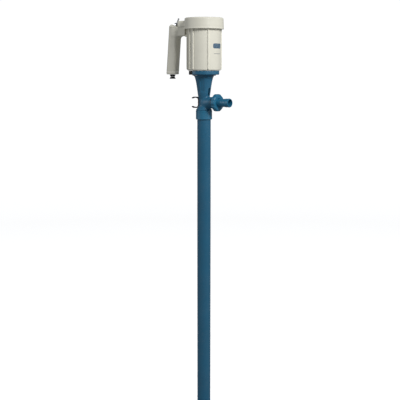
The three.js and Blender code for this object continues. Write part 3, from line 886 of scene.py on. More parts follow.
def swept(name: str, path: np.ndarray, section: np.ndarray, side: Vector) -> bpy.types.Object:
    """Runs a section along a path.

    Args:
        name: the object's name.
        path: points of the path.
        section: the section's outline, with its second axis along side; scaled for each point
            where it has three axes.
        side: a direction square to the path all along.

    Returns:
        A closed shape.
    """
    tangents = np.gradient(path, axis=0)
    tangents /= np.linalg.norm(tangents, axis=1)[:, None]
    across = np.array(side)
    outward = np.cross(tangents, across)
    sections = section if section.ndim == 3 else np.repeat(section[None], len(path), axis=0)
    rings = (
        path[:, None]
        + sections[:, :, :1] * outward[:, None]
        + sections[:, :, 1:] * across[None, None]
    )
    return lofted(name, rings)


# ------------------------------------------------------------------ geometry nodes


class RingOfCopies:
    """A Geometry Nodes tree that sets copies of one shape around Z, at even steps."""

    INPUTS = {
        "Shape": "NodeSocketObject",
        "Count": "NodeSocketInt",
        "Ring Radius": "NodeSocketFloat",
        "Height": "NodeSocketFloat",
        "First Angle": "NodeSocketFloat",
        "Step Angle": "NodeSocketFloat",
        "Roll": "NodeSocketFloat",
        "Seed": "NodeSocketInt",
        "Material": "NodeSocketMaterial",
    }

    def __init__(self) -> None:
        """Builds the tree and its named inputs."""
        self.tree = bpy.data.node_groups.new("ring_of_copies", "GeometryNodeTree")
        face = self.tree.interface
        face.new_socket("Geometry", in_out="OUTPUT", socket_type="NodeSocketGeometry")
        for name, kind in self.INPUTS.items():
            face.new_socket(name, in_out="INPUT", socket_type=kind)
        self._wire()

    def _add(
        self, kind: str, settings: dict[str, object], links: dict[Union[int, str], object]
    ) -> bpy.types.Node:
        """Adds a node with its settings, and links sockets to its inputs.

        Args:
            kind: the node's type.
            settings: the node's own settings.
            links: values or sockets for its inputs, by index or name.

        Returns:
            The node.
        """
        node = self.tree.nodes.new(kind)
        for key, value in settings.items():
            setattr(node, key, value)
        for key, source in links.items():
            if isinstance(source, bpy.types.NodeSocket):
                self.tree.links.new(source, node.inputs[key])
            else:
                node.inputs[key].default_value = source
        return node

    def _wire(self) -> None:
        """Wires the tree: a copy for each index, moved out, turned, rolled and made real."""
        given = self._add("NodeGroupInput", {}, {}).outputs
        shape = self._add("GeometryNodeObjectInfo", {}, {"Object": given["Shape"]})
        out = self._add("ShaderNodeCombineXYZ", {}, {"X": given["Ring Radius"]}).outputs[0]
        placed = self._add(
            "GeometryNodeTransform", {}, {"Geometry": shape.outputs["Geometry"], "Translation": out}
        )
        lift = self._add("ShaderNodeCombineXYZ", {}, {"Z": given["Height"]}).outputs[0]
        points = self._add(
            "GeometryNodeMeshLine", {"mode": "OFFSET"},
            {"Count": given["Count"], "Start Location": lift, "Offset": (0, 0, 0)},
        )
        index = self._add("GeometryNodeInputIndex", {}, {}).outputs[0]
        angle = self._add(
            "ShaderNodeMath", {"operation": "MULTIPLY_ADD"},
            {0: index, 1: given["Step Angle"], 2: given["First Angle"]},
        )
        facing = self._add("ShaderNodeCombineXYZ", {}, {"Z": angle.outputs[0]}).outputs[0]
        copies = self._add(
            "GeometryNodeInstanceOnPoints", {},
            {"Points": points.outputs[0], "Instance": placed.outputs[0], "Rotation": facing},
        )
        chance = self._add(
            "FunctionNodeRandomValue", {"data_type": "FLOAT"},
            {"Seed": given["Seed"], 3: given["Roll"]},
        )
        rolled = self._add("ShaderNodeCombineXYZ", {}, {"Z": chance.outputs[1]}).outputs[0]
        turned_copies = self._add(
            "GeometryNodeRotateInstances", {},
            {"Instances": copies.outputs[0], "Rotation": rolled, "Pivot Point": out, "Local Space": True},
        )
        real = self._add("GeometryNodeRealizeInstances", {}, {0: turned_copies.outputs[0]})
        dress = self._add(
            "GeometryNodeSetMaterial", {}, {"Geometry": real.outputs[0], "Material": given["Material"]}
        )
        self._add("NodeGroupOutput", {}, {0: dress.outputs[0]})

    def make(
        self,
        name: str,
        shape: bpy.types.Object,
        count: int,
        radius: float = 0,
        height: float = 0,
        first: float = 0,
        step: Optional[float] = None,
        roll: float = 0,
    ) -> bpy.types.Object:
        """Makes the ring as one plain mesh.

        Args:
            name: the new object's name.
            shape: the shape to copy, drawn about the origin; it is used up.
            count: how many copies.
            radius: how far out each copy is moved.
            height: how far up each copy is moved.
            first: degrees from +X to the first copy.
            step: degrees between copies, a whole turn's share if left out.
            roll: the most that a copy is rolled about its own Z at random, in degrees.

        Returns:
            The new object.
        """
        piece = bpy.data.objects.new(name, bpy.data.meshes.new(name))
        bpy.context.scene.collection.objects.link(piece)
        modifier = piece.modifiers.new("ring", "NODES")
        modifier.node_group = self.tree
        values = {
            "Shape": shape,
            "Count": count,
            "Ring Radius": radius * MM,
            "Height": height * MM,
            "First Angle": math.radians(first),
            "Step Angle": math.radians(360 / count if step is None else step),
            "Roll": math.radians(roll),
            "Seed": 7,
            "Material": None,
        }
        for item in self.tree.interface.items_tree:
            if item.in_out == "INPUT":
                modifier[item.identifier] = values[item.name]
        settled(piece)
        bpy.data.objects.remove(shape)
        return smoothed(piece)


def screw(name: str, radius: float, height: float, shank: float, length: float) -> bpy.types.Object:
    """A pan-head screw with a cross recess: its seat at the origin, its head towards +Z.

    Args:
        name: the object's name.
        radius: the head's radius.
        height: the head's height.
        shank: the shank's radius.
        length: the shank's length.

    Returns:
        A closed shape.
    """
    body = turned(name, [
        (0, -length), (shank * 0.7, -length), (shank, 1.5 - length), (shank, 0), (radius, 0),
        (radius, height * 0.45), (radius * 0.7, height), (0, height),
    ], 28, edge=radius * 0.12)
    arm, half, floor = radius * 0.56, radius * 0.13, height * 0.45
    recess = [
        block("recess", (-x, -y, floor), (x, y, height + 1)) for x, y in ((arm, half), (half, arm))
    ]
    return worked(body, Cut.TAKE, *recess)


# ------------------------------------------------------------------ fitting


class Workshop:
    """The frame's bodies and slots, the finishes, and the fitting of each finished piece."""

    def __init__(self) -> None:
        """Reads which body and slot each CAD node has, and builds what all pieces share."""
        record = frame["record"]
        self.slots = {part["node"]: part["material_slot"] for part in record["subparts"]}
        self.bodies = {
            node: body for body, nodes in record["behaviour"]["bodies"].items() for node in nodes
        }
        self.ring = RingOfCopies()
        self.finishes = Finishes()
        self.shown = set(self.slots)

    def fit(self, piece: bpy.types.Object, finish: bpy.types.Material, *nodes: str) -> None:
        """Finishes a piece that stands for CAD nodes.

        Args:
            piece: the piece.
            finish: its material.
            nodes: the nodes that it replaces; the first gives its body.
        """
        self.attach(piece, finish, nodes[0])
        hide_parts(*nodes)
        self.shown -= set(nodes)

    def attach(self, piece: bpy.types.Object, finish: bpy.types.Material, node: str) -> None:
        """Finishes a piece that goes with a CAD node, without replacing it.

        Args:
            piece: the piece.
            finish: its finish.
            node: the CAD node whose body it rides on.
        """
        piece.data.materials.clear()
        piece.data.materials.append(finish)
        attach(piece, self.bodies[node])
        LOG.info("%s: %d faces on %s", piece.name, len(piece.data.polygons), self.bodies[node])

    def carry_over(self) -> None:
        """Gives every CAD node that is still shown the finish of its slot."""
        for node in sorted(self.shown):
            for place in frame["nodes"][node].material_slots:
                place.material = self.finishes.by_slot[self.slots[node]]
            LOG.info("%s: carried over on %s", node, self.bodies[node])


# ------------------------------------------------------------------ immersion tube


@dataclass
class ImmersionTube:
    """The long outer tube, its collar nut, and the impeller's housing and foot."""

    shop: Workshop
    radius: float = 21.0
    bore: float = 18.0
    flange_radius: float = 22.4
    flange_low: float = 4.3
    collar_bead: float = 0.35
    slots: int = 6
    slot_width: float = 6.0

    def build(self) -> None:
        """Builds the four pieces."""
        self.tube()
        self.collar()
        self.housing()
        self.foot()

    def tube(self) -> None:
        """The plain tube with its top flange."""
        place = Extent.of("outer_tube")
        pipe = turned("tube_wall", [
            (self.bore, place.low.z), (self.radius, place.low.z), (self.radius, self.flange_low),
            (self.flange_radius, self.flange_low), (self.flange_radius, place.high.z),
            (self.bore, place.high.z),
        ], 144, hollow=True, edge=0.4)
        self.shop.fit(pipe, self.shop.finishes.blue, "outer_tube")

    def collar(self) -> None:
        """The collar nut: a smooth barrel with a bead round its top edge."""
        place = Extent.of("tube_nut")
        outer, top = 25.0, place.high.z
        bead = outer + self.collar_bead
        nut = turned("collar_nut", [
            (21.4, 0), (24.2, 0), (25.2, 1.1), (25.1, 4), (outer, top - 4.2), (bead, top - 3.4),
            (bead, top - 0.8), (24.5, top), (22.8, top), (22.8, 4), (21.4, 4),
        ], 144, hollow=True, edge=0.45)
        self.shop.fit(nut, self.shop.finishes.blue_bright, "tube_nut")

    def housing(self) -> None:
        """The impeller's housing, with its spigot, hub and three vanes."""
        place = Extent.of("impeller_housing")
        shoulder, bore = place.high.z - 12.3, 14.5
        shell = turned("impeller_case", [
            (bore, place.low.z), (self.radius, place.low.z), (self.radius, shoulder),
            (self.bore - 0.3, shoulder), (self.bore - 0.3, place.high.z), (bore, place.high.z),
        ], 96, hollow=True, edge=0.5)
        hub = turned("hub", [
            (10.3, shoulder), (12.3, shoulder), (12.3, place.high.z), (10.3, place.high.z),
        ], 64, hollow=True)
        vane = block("vane", (11, -1, shoulder + 0.4), (bore + 1, 1, place.high.z - 0.4), 0.4)
        vanes = self.shop.ring.make("vanes", vane, 3)
        worked(shell, Cut.ADD, hub, vanes)
        self.shop.fit(shell, self.shop.finishes.blue_bright, "impeller_housing")

    def foot(self) -> None:
        """The slotted suction foot."""
        place = Extent.of("suction_foot")
        low, high = place.low.z, place.high.z
        wall = self.radius - 3.5
        cup = turned("inlet_foot", [
            (9, low), (self.radius - 2.2, low), (self.radius, low + 2.2), (self.radius, high),
            (wall, high), (wall, low + 4), (9, low + 4),
        ], 128, hollow=True, edge=0.8)
        slot = self._slot(high - low - 10)
        worked(cup, Cut.TAKE, self.shop.ring.make("slots", slot, self.slots, 0, low + 5))
        self.shop.fit(cup, self.shop.finishes.blue_bright, "suction_foot")

    def _slot(self, height: float) -> bpy.types.Object:
        """A round-ended slot to cut through the foot's wall along X.

        Args:
            height: the slot's height.

        Returns:
            The slot.
        """
        half = self.slot_width / 2
        plan = rounded_plan(height, self.slot_width, half - 0.01, 8)
        bar = slab("slot", plan.tolist(), 10, 30)
        return moved(bar, Matrix.Translation((0, 0, height / 2)) @ Matrix.Rotation(math.pi / 2, 4, "Y"))


# ------------------------------------------------------------------ pump head


@dataclass
class PumpHead:
    """The blue head: trumpet, flange, neck and side branch, with its latch, clip and screws."""

    shop: Workshop
    neck: float = 15.3
    branch_height: float = 52.0
    branch_radius: float = 17.0
    branch_end: float = 50.0
    flange_radius: float = 46.8
    flange_low: float = 137.0
    flange_high: float = 149.0
    screw_circle: float = 40.0
    panel_angles: tuple[float, ...] = (69.0, 111.0, -69.0, -111.0)
    panel_half: float = 15.5
    panel_depth: float = 1.5
    latch_angle: float = 243.0
    clip_height: float = 52.0
    clip_thickness: float = 3.6

    HEIGHTS = (
        26.0, 30.5, 34.0, 39.0, 44.0, 50.0, 60.0, 66.0,
        75.0, 88.0, 101.0, 113.0, 126.0, 132.0, 137.0, 141.0,
    )
    RADII = (
        24.6, 24.3, 21.5, 18.0, 16.0, 15.3, 15.3, 17.2,
        19.0, 20.7, 22.5, 24.4, 27.4, 29.8, 33.8, 39.0,
    )

    def build(self) -> None:
        """Builds the head and what is fixed to it."""
        self.body()
        self.latch()
        self.clip()
        self.screws()

    def outline(self, height: np.ndarray) -> np.ndarray:
        """The trumpet's radius at each height, smoothed between the listed ones.

        Args:
            height: heights.

        Returns:
            The radii.
        """
        steps = np.linspace(-2.2, 2.2, 9)
        weights = np.exp(-((steps / 1.4) ** 2))
        samples = [np.interp(height + step, self.HEIGHTS, self.RADII) for step in steps]
        return np.average(samples, axis=0, weights=weights)

    def field(self, p: np.ndarray) -> np.ndarray:
        """Distance to the outside of the trumpet, neck, elbow and branch.

        Args:
            p: points, one to a row.

        Returns:
            The distances, negative inside.
        """
        x, y, z = p.T
        radius = self.outline(z)
        angle = np.degrees(np.arctan2(y, x))
        sunk = np.zeros(len(p))
        for centre in self.panel_angles:
            away = np.abs((angle - centre + 180) % 360 - 180)
            sunk += 1 - smooth_step(self.panel_half - 2.2, self.panel_half + 1.2, away)
        sunk *= smooth_step(82, 88, z) * (1 - smooth_step(125, 131, z))
        trumpet = (np.hypot(x, y) - radius + self.panel_depth * sunk) * 0.94
        branch = np.maximum(
            np.hypot(y, z - self.branch_height) - self.branch_radius, -x
        )
        way = self.elbow_points()
        elbow = np.full(len(p), 1e3)
        for start, end in zip(way[:-1], way[1:]):
            along = np.clip((p - start) @ (end - start) / ((end - start) @ (end - start)), 0, 1)
            gap = np.linalg.norm(p - start - along[:, None] * (end - start), axis=1)
            elbow = np.minimum(elbow, gap)
        body = smooth_min(trumpet, branch, 5)
        return smooth_min(body, elbow - 14.6, 6)

    @staticmethod
    def elbow_points() -> np.ndarray:
        """Points of the elbow's sweep from the collar up into the branch.

        Returns:
            The points.
        """
        start, bend, end = np.array([[3, 0, 28.5], [5, 0, 45], [24, 0, 51]], dtype=float)
        t = np.linspace(0, 1, 13)[:, None]
        return start * (1 - t) ** 2 + bend * (2 * t * (1 - t)) + end * t**2

    def body(self) -> None:
        """The head itself, sculpted outside and cut inside."""
        rough = [
            turned("head_casting", [(0, 24), *zip(self.RADII, self.HEIGHTS), (0, 141)], 64, edge=0),
            along_x(turned("b", [(0, 0), (17, 0), (17, 56), (0, 56)], 48, edge=0), self.branch_height),
        ]
        rough += [self._ball(point) for point in self.elbow_points()[1::3]]
        head = sculpted("head_casting", rough, self.field, 0.95)
        worked(head, Cut.KEEP, block("limits", (-60, -60, 28.2), (self.branch_end - 5, 60, 138)))
        low = Extent.of("pump_head").low.z
        spigot = turned("spigot", [
            (0, low), (self.neck, low), (22.2, low), (22.4, low + 0.6), (22.4, 27.9), (24.7, 28.1),
            (24.7, 30.2), (23.2, 31), (0, 31),
        ], 128, edge=0.3)
        flange = turned("flange", [
            (0, 136), (33, 136.6), (self.flange_radius - 1.4, self.flange_low),
            (self.flange_radius, self.flange_low + 1.2), (self.flange_radius, self.flange_high),
            (0, self.flange_high),
        ], 160, edge=0.6)
        thread = along_x(self._thread(), self.branch_height)
        worked(head, Cut.ADD, spigot, flange, thread)
        worked(head, Cut.TAKE, *self._hollows(low))
        self.shop.fit(head, self.shop.finishes.blue, "pump_head")

    def _ball(self, centre: np.ndarray) -> bpy.types.Object:
        """A rough ball on the elbow's sweep."""
        arc = [(15 * math.sin(a), -15 * math.cos(a)) for a in np.linspace(0, math.pi, 13)]
        return moved(turned("ball", arc, 24, edge=0), Matrix.Translation(centre))

    def _thread(self) -> bpy.types.Object:
        """The threaded end of the branch, about Z.

        Returns:
            The threaded end.
        """
        ridges = []
        start, end, pitch = self.branch_end - 5.6, self.branch_end, 2.4
        for k in range(2):
            z = start + 0.4 + k * pitch
            ridges += [(20.2, z), (21.1, z + 0.9), (21.1, z + 1.3), (20.2, z + pitch - 0.2)]
        return turned("thread", [(0, start), (20.2, start), *ridges, (20.2, end), (0, end)], 128, edge=0.25)

    def _hollows(self, low: float) -> list[bpy.types.Object]:
        """The shapes cut out of the head.

        Args:
            low: the head's lowest height.

        Returns:
            The shapes.
        """
        waterway = turned("w", [
            (0, low - 1), (18, low - 1), (18, 18), (13, 34), (13, 60), (9, 64.5), (0, 64.5),
        ], 96, edge=1.5)
        bore = along_x(turned("b", [(0, 0), (12, 0), (12, 51), (0, 51)], 96, edge=0), self.branch_height)
        chamber = turned("c", [
            (0, 68), (13.5, 68), (15.5, 95), (18, 122), (22, 138), (22, 150), (0, 150),
        ], 96, edge=2)
        shaft = turned("s", [(0, 60), (4.5, 60), (4.5, 75), (0, 75)], 48, edge=0)
        window = slab("window", rounded_plan(25, 9, 4.2, 8).tolist(), 8, 40)
        moved(window, Matrix.Translation((0, 0, 84.5)) @ Matrix.Rotation(math.pi / 2, 4, "Y"))
        pocket = block("pocket", (33.5, -11.3, 135), (60, 11.3, 150))
        moved(pocket, Matrix.Rotation(math.radians(self.latch_angle), 4, "Z"))
        hole = turned("hole", [(0, 120), (2.8, 120), (2.8, 160), (0, 160)], 32, edge=0)
        holes = self.shop.ring.make("holes", hole, 4, self.screw_circle)
        return [waterway, bore, chamber, shaft, window, pocket, holes, self._pin()]

    def latch(self) -> None:
        """The grooved black latch block in the flange's rim."""
        low, high = self.flange_low + 0.3, self.flange_high - 0.3
        lump = block("latch_pad", (37.2, -11, low), (52, 11, high), 0.8)
        rim = turned("rim", [(0, low - 1), (47.8, low - 1), (47.8, high + 1), (0, high + 1)], 180, edge=0)
        worked(lump, Cut.KEEP, rim)
        grooves = [
            block("g", (46.9, y - 0.7, low - 1), (52, y + 0.7, high + 1))
            for y in (-7, -3.5, 0, 3.5, 7)
        ]
        worked(lump, Cut.TAKE, *grooves)
        bevelled(lump, 0.3, 2)
        moved(lump, Matrix.Rotation(math.radians(self.latch_angle), 4, "Z"))
        self.shop.fit(lump, self.shop.finishes.black, "latch_block")

    def clip(self) -> None:
        """The open clip behind the neck, a thick strip with thinned tips, and its screw."""
        turn = np.radians(np.linspace(-130, 130, 121))
        away, up = np.cos(turn), np.sin(turn)
        back, front, height = (reach - self.clip_thickness / 2 for reach in (19, 16, 17.5))
        square_up = np.sign(up) * np.sqrt(np.abs(up))
        path = np.stack([
            -36 + np.where(away < 0, front * away, back * np.sqrt(np.clip(away, 0, None))),
            np.zeros(len(turn)),
            self.clip_height + height * np.where(away < 0, up, square_up),
        ], axis=1)
        path = self._evened(path, 97)
        strip = rounded_plan(self.clip_thickness, 10, 1.3, 5)
        run = np.linspace(-1, 1, 97)
        end = np.clip((1 - np.abs(run)) / 0.16, 0, 1)
        swell = 0.2 + 0.8 * np.sqrt(1 - (1 - end) ** 2)
        sections = strip[None] * np.stack([swell, 0.55 + 0.45 * swell], axis=1)[:, None]
        piece = swept("hook_clip", path, sections, Vector((0, 1, 0)))
        worked(piece, Cut.TAKE, self._pin())
        self.shop.fit(smoothed(piece, 50), self.shop.finishes.spring, "spring_clip")
        bolt = screw("hook_screw", 3.4, 2, 1.6, 7)
        place = Matrix.Translation((-20.9, 0, self.clip_height))
        moved(bolt, place @ Matrix.Rotation(-math.pi / 2, 4, "Y"))
        self.shop.fit(bolt, self.shop.finishes.steel, "clip_screw")

    @staticmethod
    def _evened(path: np.ndarray, count: int) -> np.ndarray:
        """The same path with evenly spaced points.

        Args:
            path: points along the path.
            count: how many points to give back.

        Returns:
            The points.
        """
        steps = np.linalg.norm(np.diff(path, axis=0), axis=1)
        run = np.concatenate([[0], np.cumsum(steps)])
        return np.stack(
            [np.interp(np.linspace(0, run[-1], count), run, path[:, k]) for k in range(3)], axis=1
        )

    def _pin(self) -> bpy.types.Object:
        """The space of the clip screw's shank.

        Returns:
            The pin.
        """
        pin = turned("pin", [(0, 9), (1.9, 9), (1.9, 39), (0, 39)], 24, edge=0)
        place = Matrix.Translation((0, 0, self.clip_height))
        return moved(pin, place @ Matrix.Rotation(-math.pi / 2, 4, "Y"))

    def screws(self) -> None:
        """The four screws under the flange that hold the motor."""
        bolt = moved(screw("bolt", 4.4, 3, 2.5, 22), Matrix.Rotation(math.pi, 4, "X"))
        ring = self.shop.ring.make("flange_bolts", bolt, 4, self.screw_circle, 136.7, roll=60)
        self.shop.fit(ring, self.shop.finishes.steel, *[f"head_screw_{i}" for i in range(1, 5)])


@dataclass
class Discharge:
    """The union nut and the hose barb on the side branch."""

    shop: Workshop
    axis_height: float = 52.0
    lobes: int = 10
    lobe_depth: float = 1.6
    thread_radius: float = 21.4

    def build(self) -> None:
        """Builds both pieces."""
        self.nut()
        self.barb()

    def nut(self) -> None:
        """The lobed union nut."""
        place = Extent.of("union_nut")
        back, face = place.low.x, place.high.x
        outer = place.radius

        def lobed(angles: np.ndarray, radius: float, height: float) -> np.ndarray:
            """Draws narrow hollows into the nut's outside.

            Args:
                angles: angles about the axis, in radians.
                radius: the plain radius of this ring.
                height: the height of this ring; not used.

            Returns:
                The radii with the hollows.
            """
            share = max(0.0, (radius - 23.4) / (outer - 23.4))
            hollow = (0.5 + 0.5 * np.cos(self.lobes * angles)) ** 4
            return radius - self.lobe_depth * share * hollow

        piece = turned("lobed_nut", [
            (self.thread_radius, back), (outer - 2, back), (outer, back + 2), (outer, face - 3.2),
            (outer - 2.6, face), (19.4, face), (18.4, face - 0.7), (14, face - 0.7),
            (14, face - 3.2), (self.thread_radius, face - 3.2),
        ], 320, hollow=True, edge=0.9, wave=lobed, sharp=45)
        self.shop.fit(along_x(piece, self.axis_height), self.shop.finishes.blue_bright, "union_nut")

    def barb(self) -> None:
        """The hose barb with two low ridges."""
        place = Extent.of("hose_barb")
        start, end = place.low.x, place.high.x
        piece = turned("hose_tail", [
            (10.8, start), (20.8, start), (20.8, start + 2.6), (13.1, start + 2.6),
            (12.4, end - 35), (12.5, end - 20), (13.4, end - 12), (12.8, end - 10.6),
            (13.6, end - 3), (12.7, end), (10.8, end),
        ], 128, hollow=True, edge=0.7)
        self.shop.fit(along_x(piece, self.axis_height), self.shop.finishes.blue_bright, "hose_barb")


# ------------------------------------------------------------------ motor


@dataclass
class Motor:
    """The ribbed motor housing with its printed mark."""

    shop: Workshop
    radius: float = 51.5
    wall: float = 3.5
    rib_angles: tuple[float, ...] = (39.0, 93.0, 110.0, 132.0)
    rib_height: float = 3.0
    rib_half: float = 2.0
    mark_half: float = 21.0

    def build(self) -> None:
        """Builds the housing and its print."""
        self.housing()
        self.mark("bar_print", self.mark_half, 216, 231, 5, self.shop.finishes.blue_ink)
        self.mark("line_print", 17.5, 199.2, 200.9, 0.6, self.shop.finishes.grey_ink)

    def ribbed(self, angles: np.ndarray, radius: float, height: float) -> np.ndarray:
        """Raises the ribs on the housing's outside.

        Args:
            angles: angles about Z, in radians.
            radius: the plain radius of this ring.
            height: the height of this ring.

        Returns:
            The raised radii.
        """
        if radius < self.radius - 0.6:
            return np.full(len(angles), radius)
        degrees = np.degrees(angles)
        rise = np.zeros(len(angles))
        for rib in (*self.rib_angles, *(-angle for angle in self.rib_angles)):
            away = np.abs((degrees - rib + 180) % 360 - 180) * math.pi / 180 * self.radius
            rise = np.maximum(rise, 1 - smooth_step(self.rib_half - 0.3, self.rib_half + 0.45, away))
        lift = float(smooth_step(151.0, 154.5, np.array([height]))[0])
        return radius + self.rib_height * rise * lift

    def housing(self) -> None:
        """The housing: a ribbed can with a lug towards the handle."""
        place = Extent.of("motor_housing")
        low, high = place.low.z, place.high.z
        inner, floor = self.radius - self.wall, low + 5.5
        flank = [(self.radius, z) for z in np.linspace(low + 2.8, low + 6.5, 5)]
        can = turned("motor_can", [
            (12.5, low), (self.radius - 3, low), *flank, (self.radius, high), (inner, high),
            (inner, floor), (18, floor), (18, floor + 11), (13.3, floor + 11), (13.3, floor),
            (12.5, floor),
        ], 900, hollow=True, edge=0.6, wave=self.ribbed, sharp=50)
        lug = block("lug", (-60, -13, 253), (-49, 13, 272), 1.5)
        toe = block("toe", (-64.2, -13, 253), (-57, 13, 259), 1.2)
        worked(can, Cut.ADD, lug, toe)
        hole = turned("hole", [(0, low - 5), (2.8, low - 5), (2.8, floor + 2), (0, floor + 2)], 24, edge=0)
        worked(can, Cut.TAKE, self.shop.ring.make("holes", hole, 4, 40))
        self.shop.fit(smoothed(can, 50), self.shop.finishes.cream, "motor_housing")

    def mark(self, name: str, half: float, low: float, high: float, corner: float,
             ink: bpy.types.Material) -> None:
        """A plain printed bar around the front of the housing.

        Args:
            name: the piece's name.
            half: half its span in degrees.
            low: its lower edge.
            high: its upper edge.
            corner: its corner radius.
            ink: its material.
        """
        reach = math.radians(half) * self.radius
        rings = []
        for s in np.sin(np.linspace(-math.pi / 2, math.pi / 2, 41)) * reach:
            past = max(0.0, abs(s) - (reach - corner))
            inset = corner - math.sqrt(max(corner**2 - past**2, 0.0004))
            angle = s / self.radius
            spots = [
                (r * math.cos(angle), r * math.sin(angle), z)
                for r, z in (
                    (self.radius - 0.2, low + inset), (self.radius + 0.07, low + inset),
                    (self.radius + 0.07, high - inset), (self.radius - 0.2, high - inset),
                )
            ]
            rings.append(spots)
        self.shop.attach(lofted(name, np.array(rings)), ink, "motor_housing")


@dataclass
class TopCover:
    """The motor's cap, drawn out into the arm that carries the switch."""

    shop: Workshop
    radius: float = 60.5
    low: float = 275.3
    high: float = 309.6
    arm_half: float = 16.0
    arm_low: float = 284.3
    arm_high: float = 302.6
    arm_end: float = -130.5
    notch: float = -91.0
    seat_start: float = -99.0
    seat_base: float = 286.0
    tilt: float = 15.0
    end_middle: float = -112.3
    end_half: float = 18.5
    end_corner: float = 11.0
    vents: int = 12
    screw_circle: float = 43.5

    def build(self) -> None:
        """Builds the cover and its screws."""
        self.cover()
        head = screw("bolt", 4, 2.2, 2, 46)
        height = self.high - 2.3
        ring = self.shop.ring.make("cover_bolts", head, 4, self.screw_circle, height, 45, roll=70)
        self.shop.fit(ring, self.shop.finishes.steel, *[f"cover_screw_{i}" for i in range(1, 5)])

    def field(self, p: np.ndarray) -> np.ndarray:
        """Distance to the outside of the cap and its arm.

        Args:
            p: points, one to a row.

        Returns:
            The distances, negative inside.
        """
        x, y, z = p.T
        taper = self.radius - 0.9 * smooth_step(self.low + 4, self.high, z)
        cap = drum_distance(p, taper, self.low - 8, self.high, 5.0)
        lip = drum_distance(p, self.radius + 0.35, self.low - 8, self.low + 3.6, 0.8)
        arm = box_distance(
            p, (self.arm_end, -self.arm_half, self.arm_low - 12), (-30, self.arm_half, self.arm_high), 4.5
        )
        slope = math.tan(math.radians(self.tilt))
        rise = np.clip(self.seat_start - x, 0, None) * slope
        seat = (z - self.seat_base - rise) * math.cos(math.radians(self.tilt))
        above = smooth_max(-seat, x - self.notch, 1.0)
        arm = smooth_max(arm, -above, 1.2)
        plan = rounded_distance(
            x - self.end_middle, y, self.end_half, self.arm_half, self.end_corner
        )
        crown = (plan + np.clip(z - self.arm_low - 1.5, 0, None) * 0.8) * 0.78
        arm = smooth_max(arm, np.minimum(crown, self.seat_start - 6 - x), 0.8)
        body = smooth_min(cap, arm, 9)
        return smooth_min(body, lip, 1.0)

    def cover(self) -> None:
        """The cover itself, hollow, with its vents, screw seats and switch hole."""
        rough = [
            turned("motor_cap", [(0, 270), (61, 270), (61, 307), (57, 309), (0, 309)], 96, edge=0),
            block("arm", (self.notch, -16, 276), (-30, 16, self.arm_high)),
            block("end", (-129, -14, 276), (-95, 14, 289)),
        ]
        cover = sculpted("motor_cap", rough, self.field, 1.15)
        worked(cover, Cut.KEEP, self._limits())
        worked(cover, Cut.TAKE, *self._hollows())
        self.shop.fit(cover, self.shop.finishes.cream, "top_cover")

    def _limits(self) -> bpy.types.Object:
        """The space above the cover's lower faces.

        Returns:
            The space.
        """
        space = block("limits", (-140, -70, self.arm_low), (70, 70, 330))
        disc = turned("disc", [(0, self.low), (62, self.low), (62, 300), (0, 300)], 128, edge=0)
        return worked(space, Cut.ADD, disc)

    def _hollows(self) -> list[bpy.types.Object]:
        """The shapes cut out of the cover.

        Returns:
            The shapes.
        """
        floor = self.low
        inside = turned("inside", [
            (0, floor - 1), (47, floor - 1), (47, floor + 3), (57.3, floor + 3),
            (55, self.high - 3), (0, self.high - 3),
        ], 96, edge=0)
        arm = block("arm_space", (-86, -12, 287.5), (-40, 12, 299), 1.5)
        hole = turned("hole", [(0, -16), (6.3, -16), (6.3, 10), (0, 10)], 40, edge=0)
        moved(hole, SwitchGroup.seat_matrix())
        sunk = self.high - 2.6
        seat = turned("seat", [(0, sunk), (4.4, sunk), (4.4, 320), (0, 320)], 40, edge=0)
        seats = self.shop.ring.make("seats", seat, 4, self.screw_circle, 0, 45)
        bolt = turned("bolt", [(0, 290), (2.3, 290), (2.3, 320), (0, 320)], 24, edge=0)
        bolts = self.shop.ring.make("bolts", bolt, 4, self.screw_circle, 0, 45)
        vent = slab("vent", rounded_plan(4.2, 7.2, 1.6, 4).tolist(), floor - 1, floor + 4)
        vents = self.shop.ring.make("vents", vent, self.vents, 54.9, 0, -150, 300 / (self.vents - 1))
        return [inside, arm, hole, seats, bolts, vents]


# ------------------------------------------------------------------ handle and switch


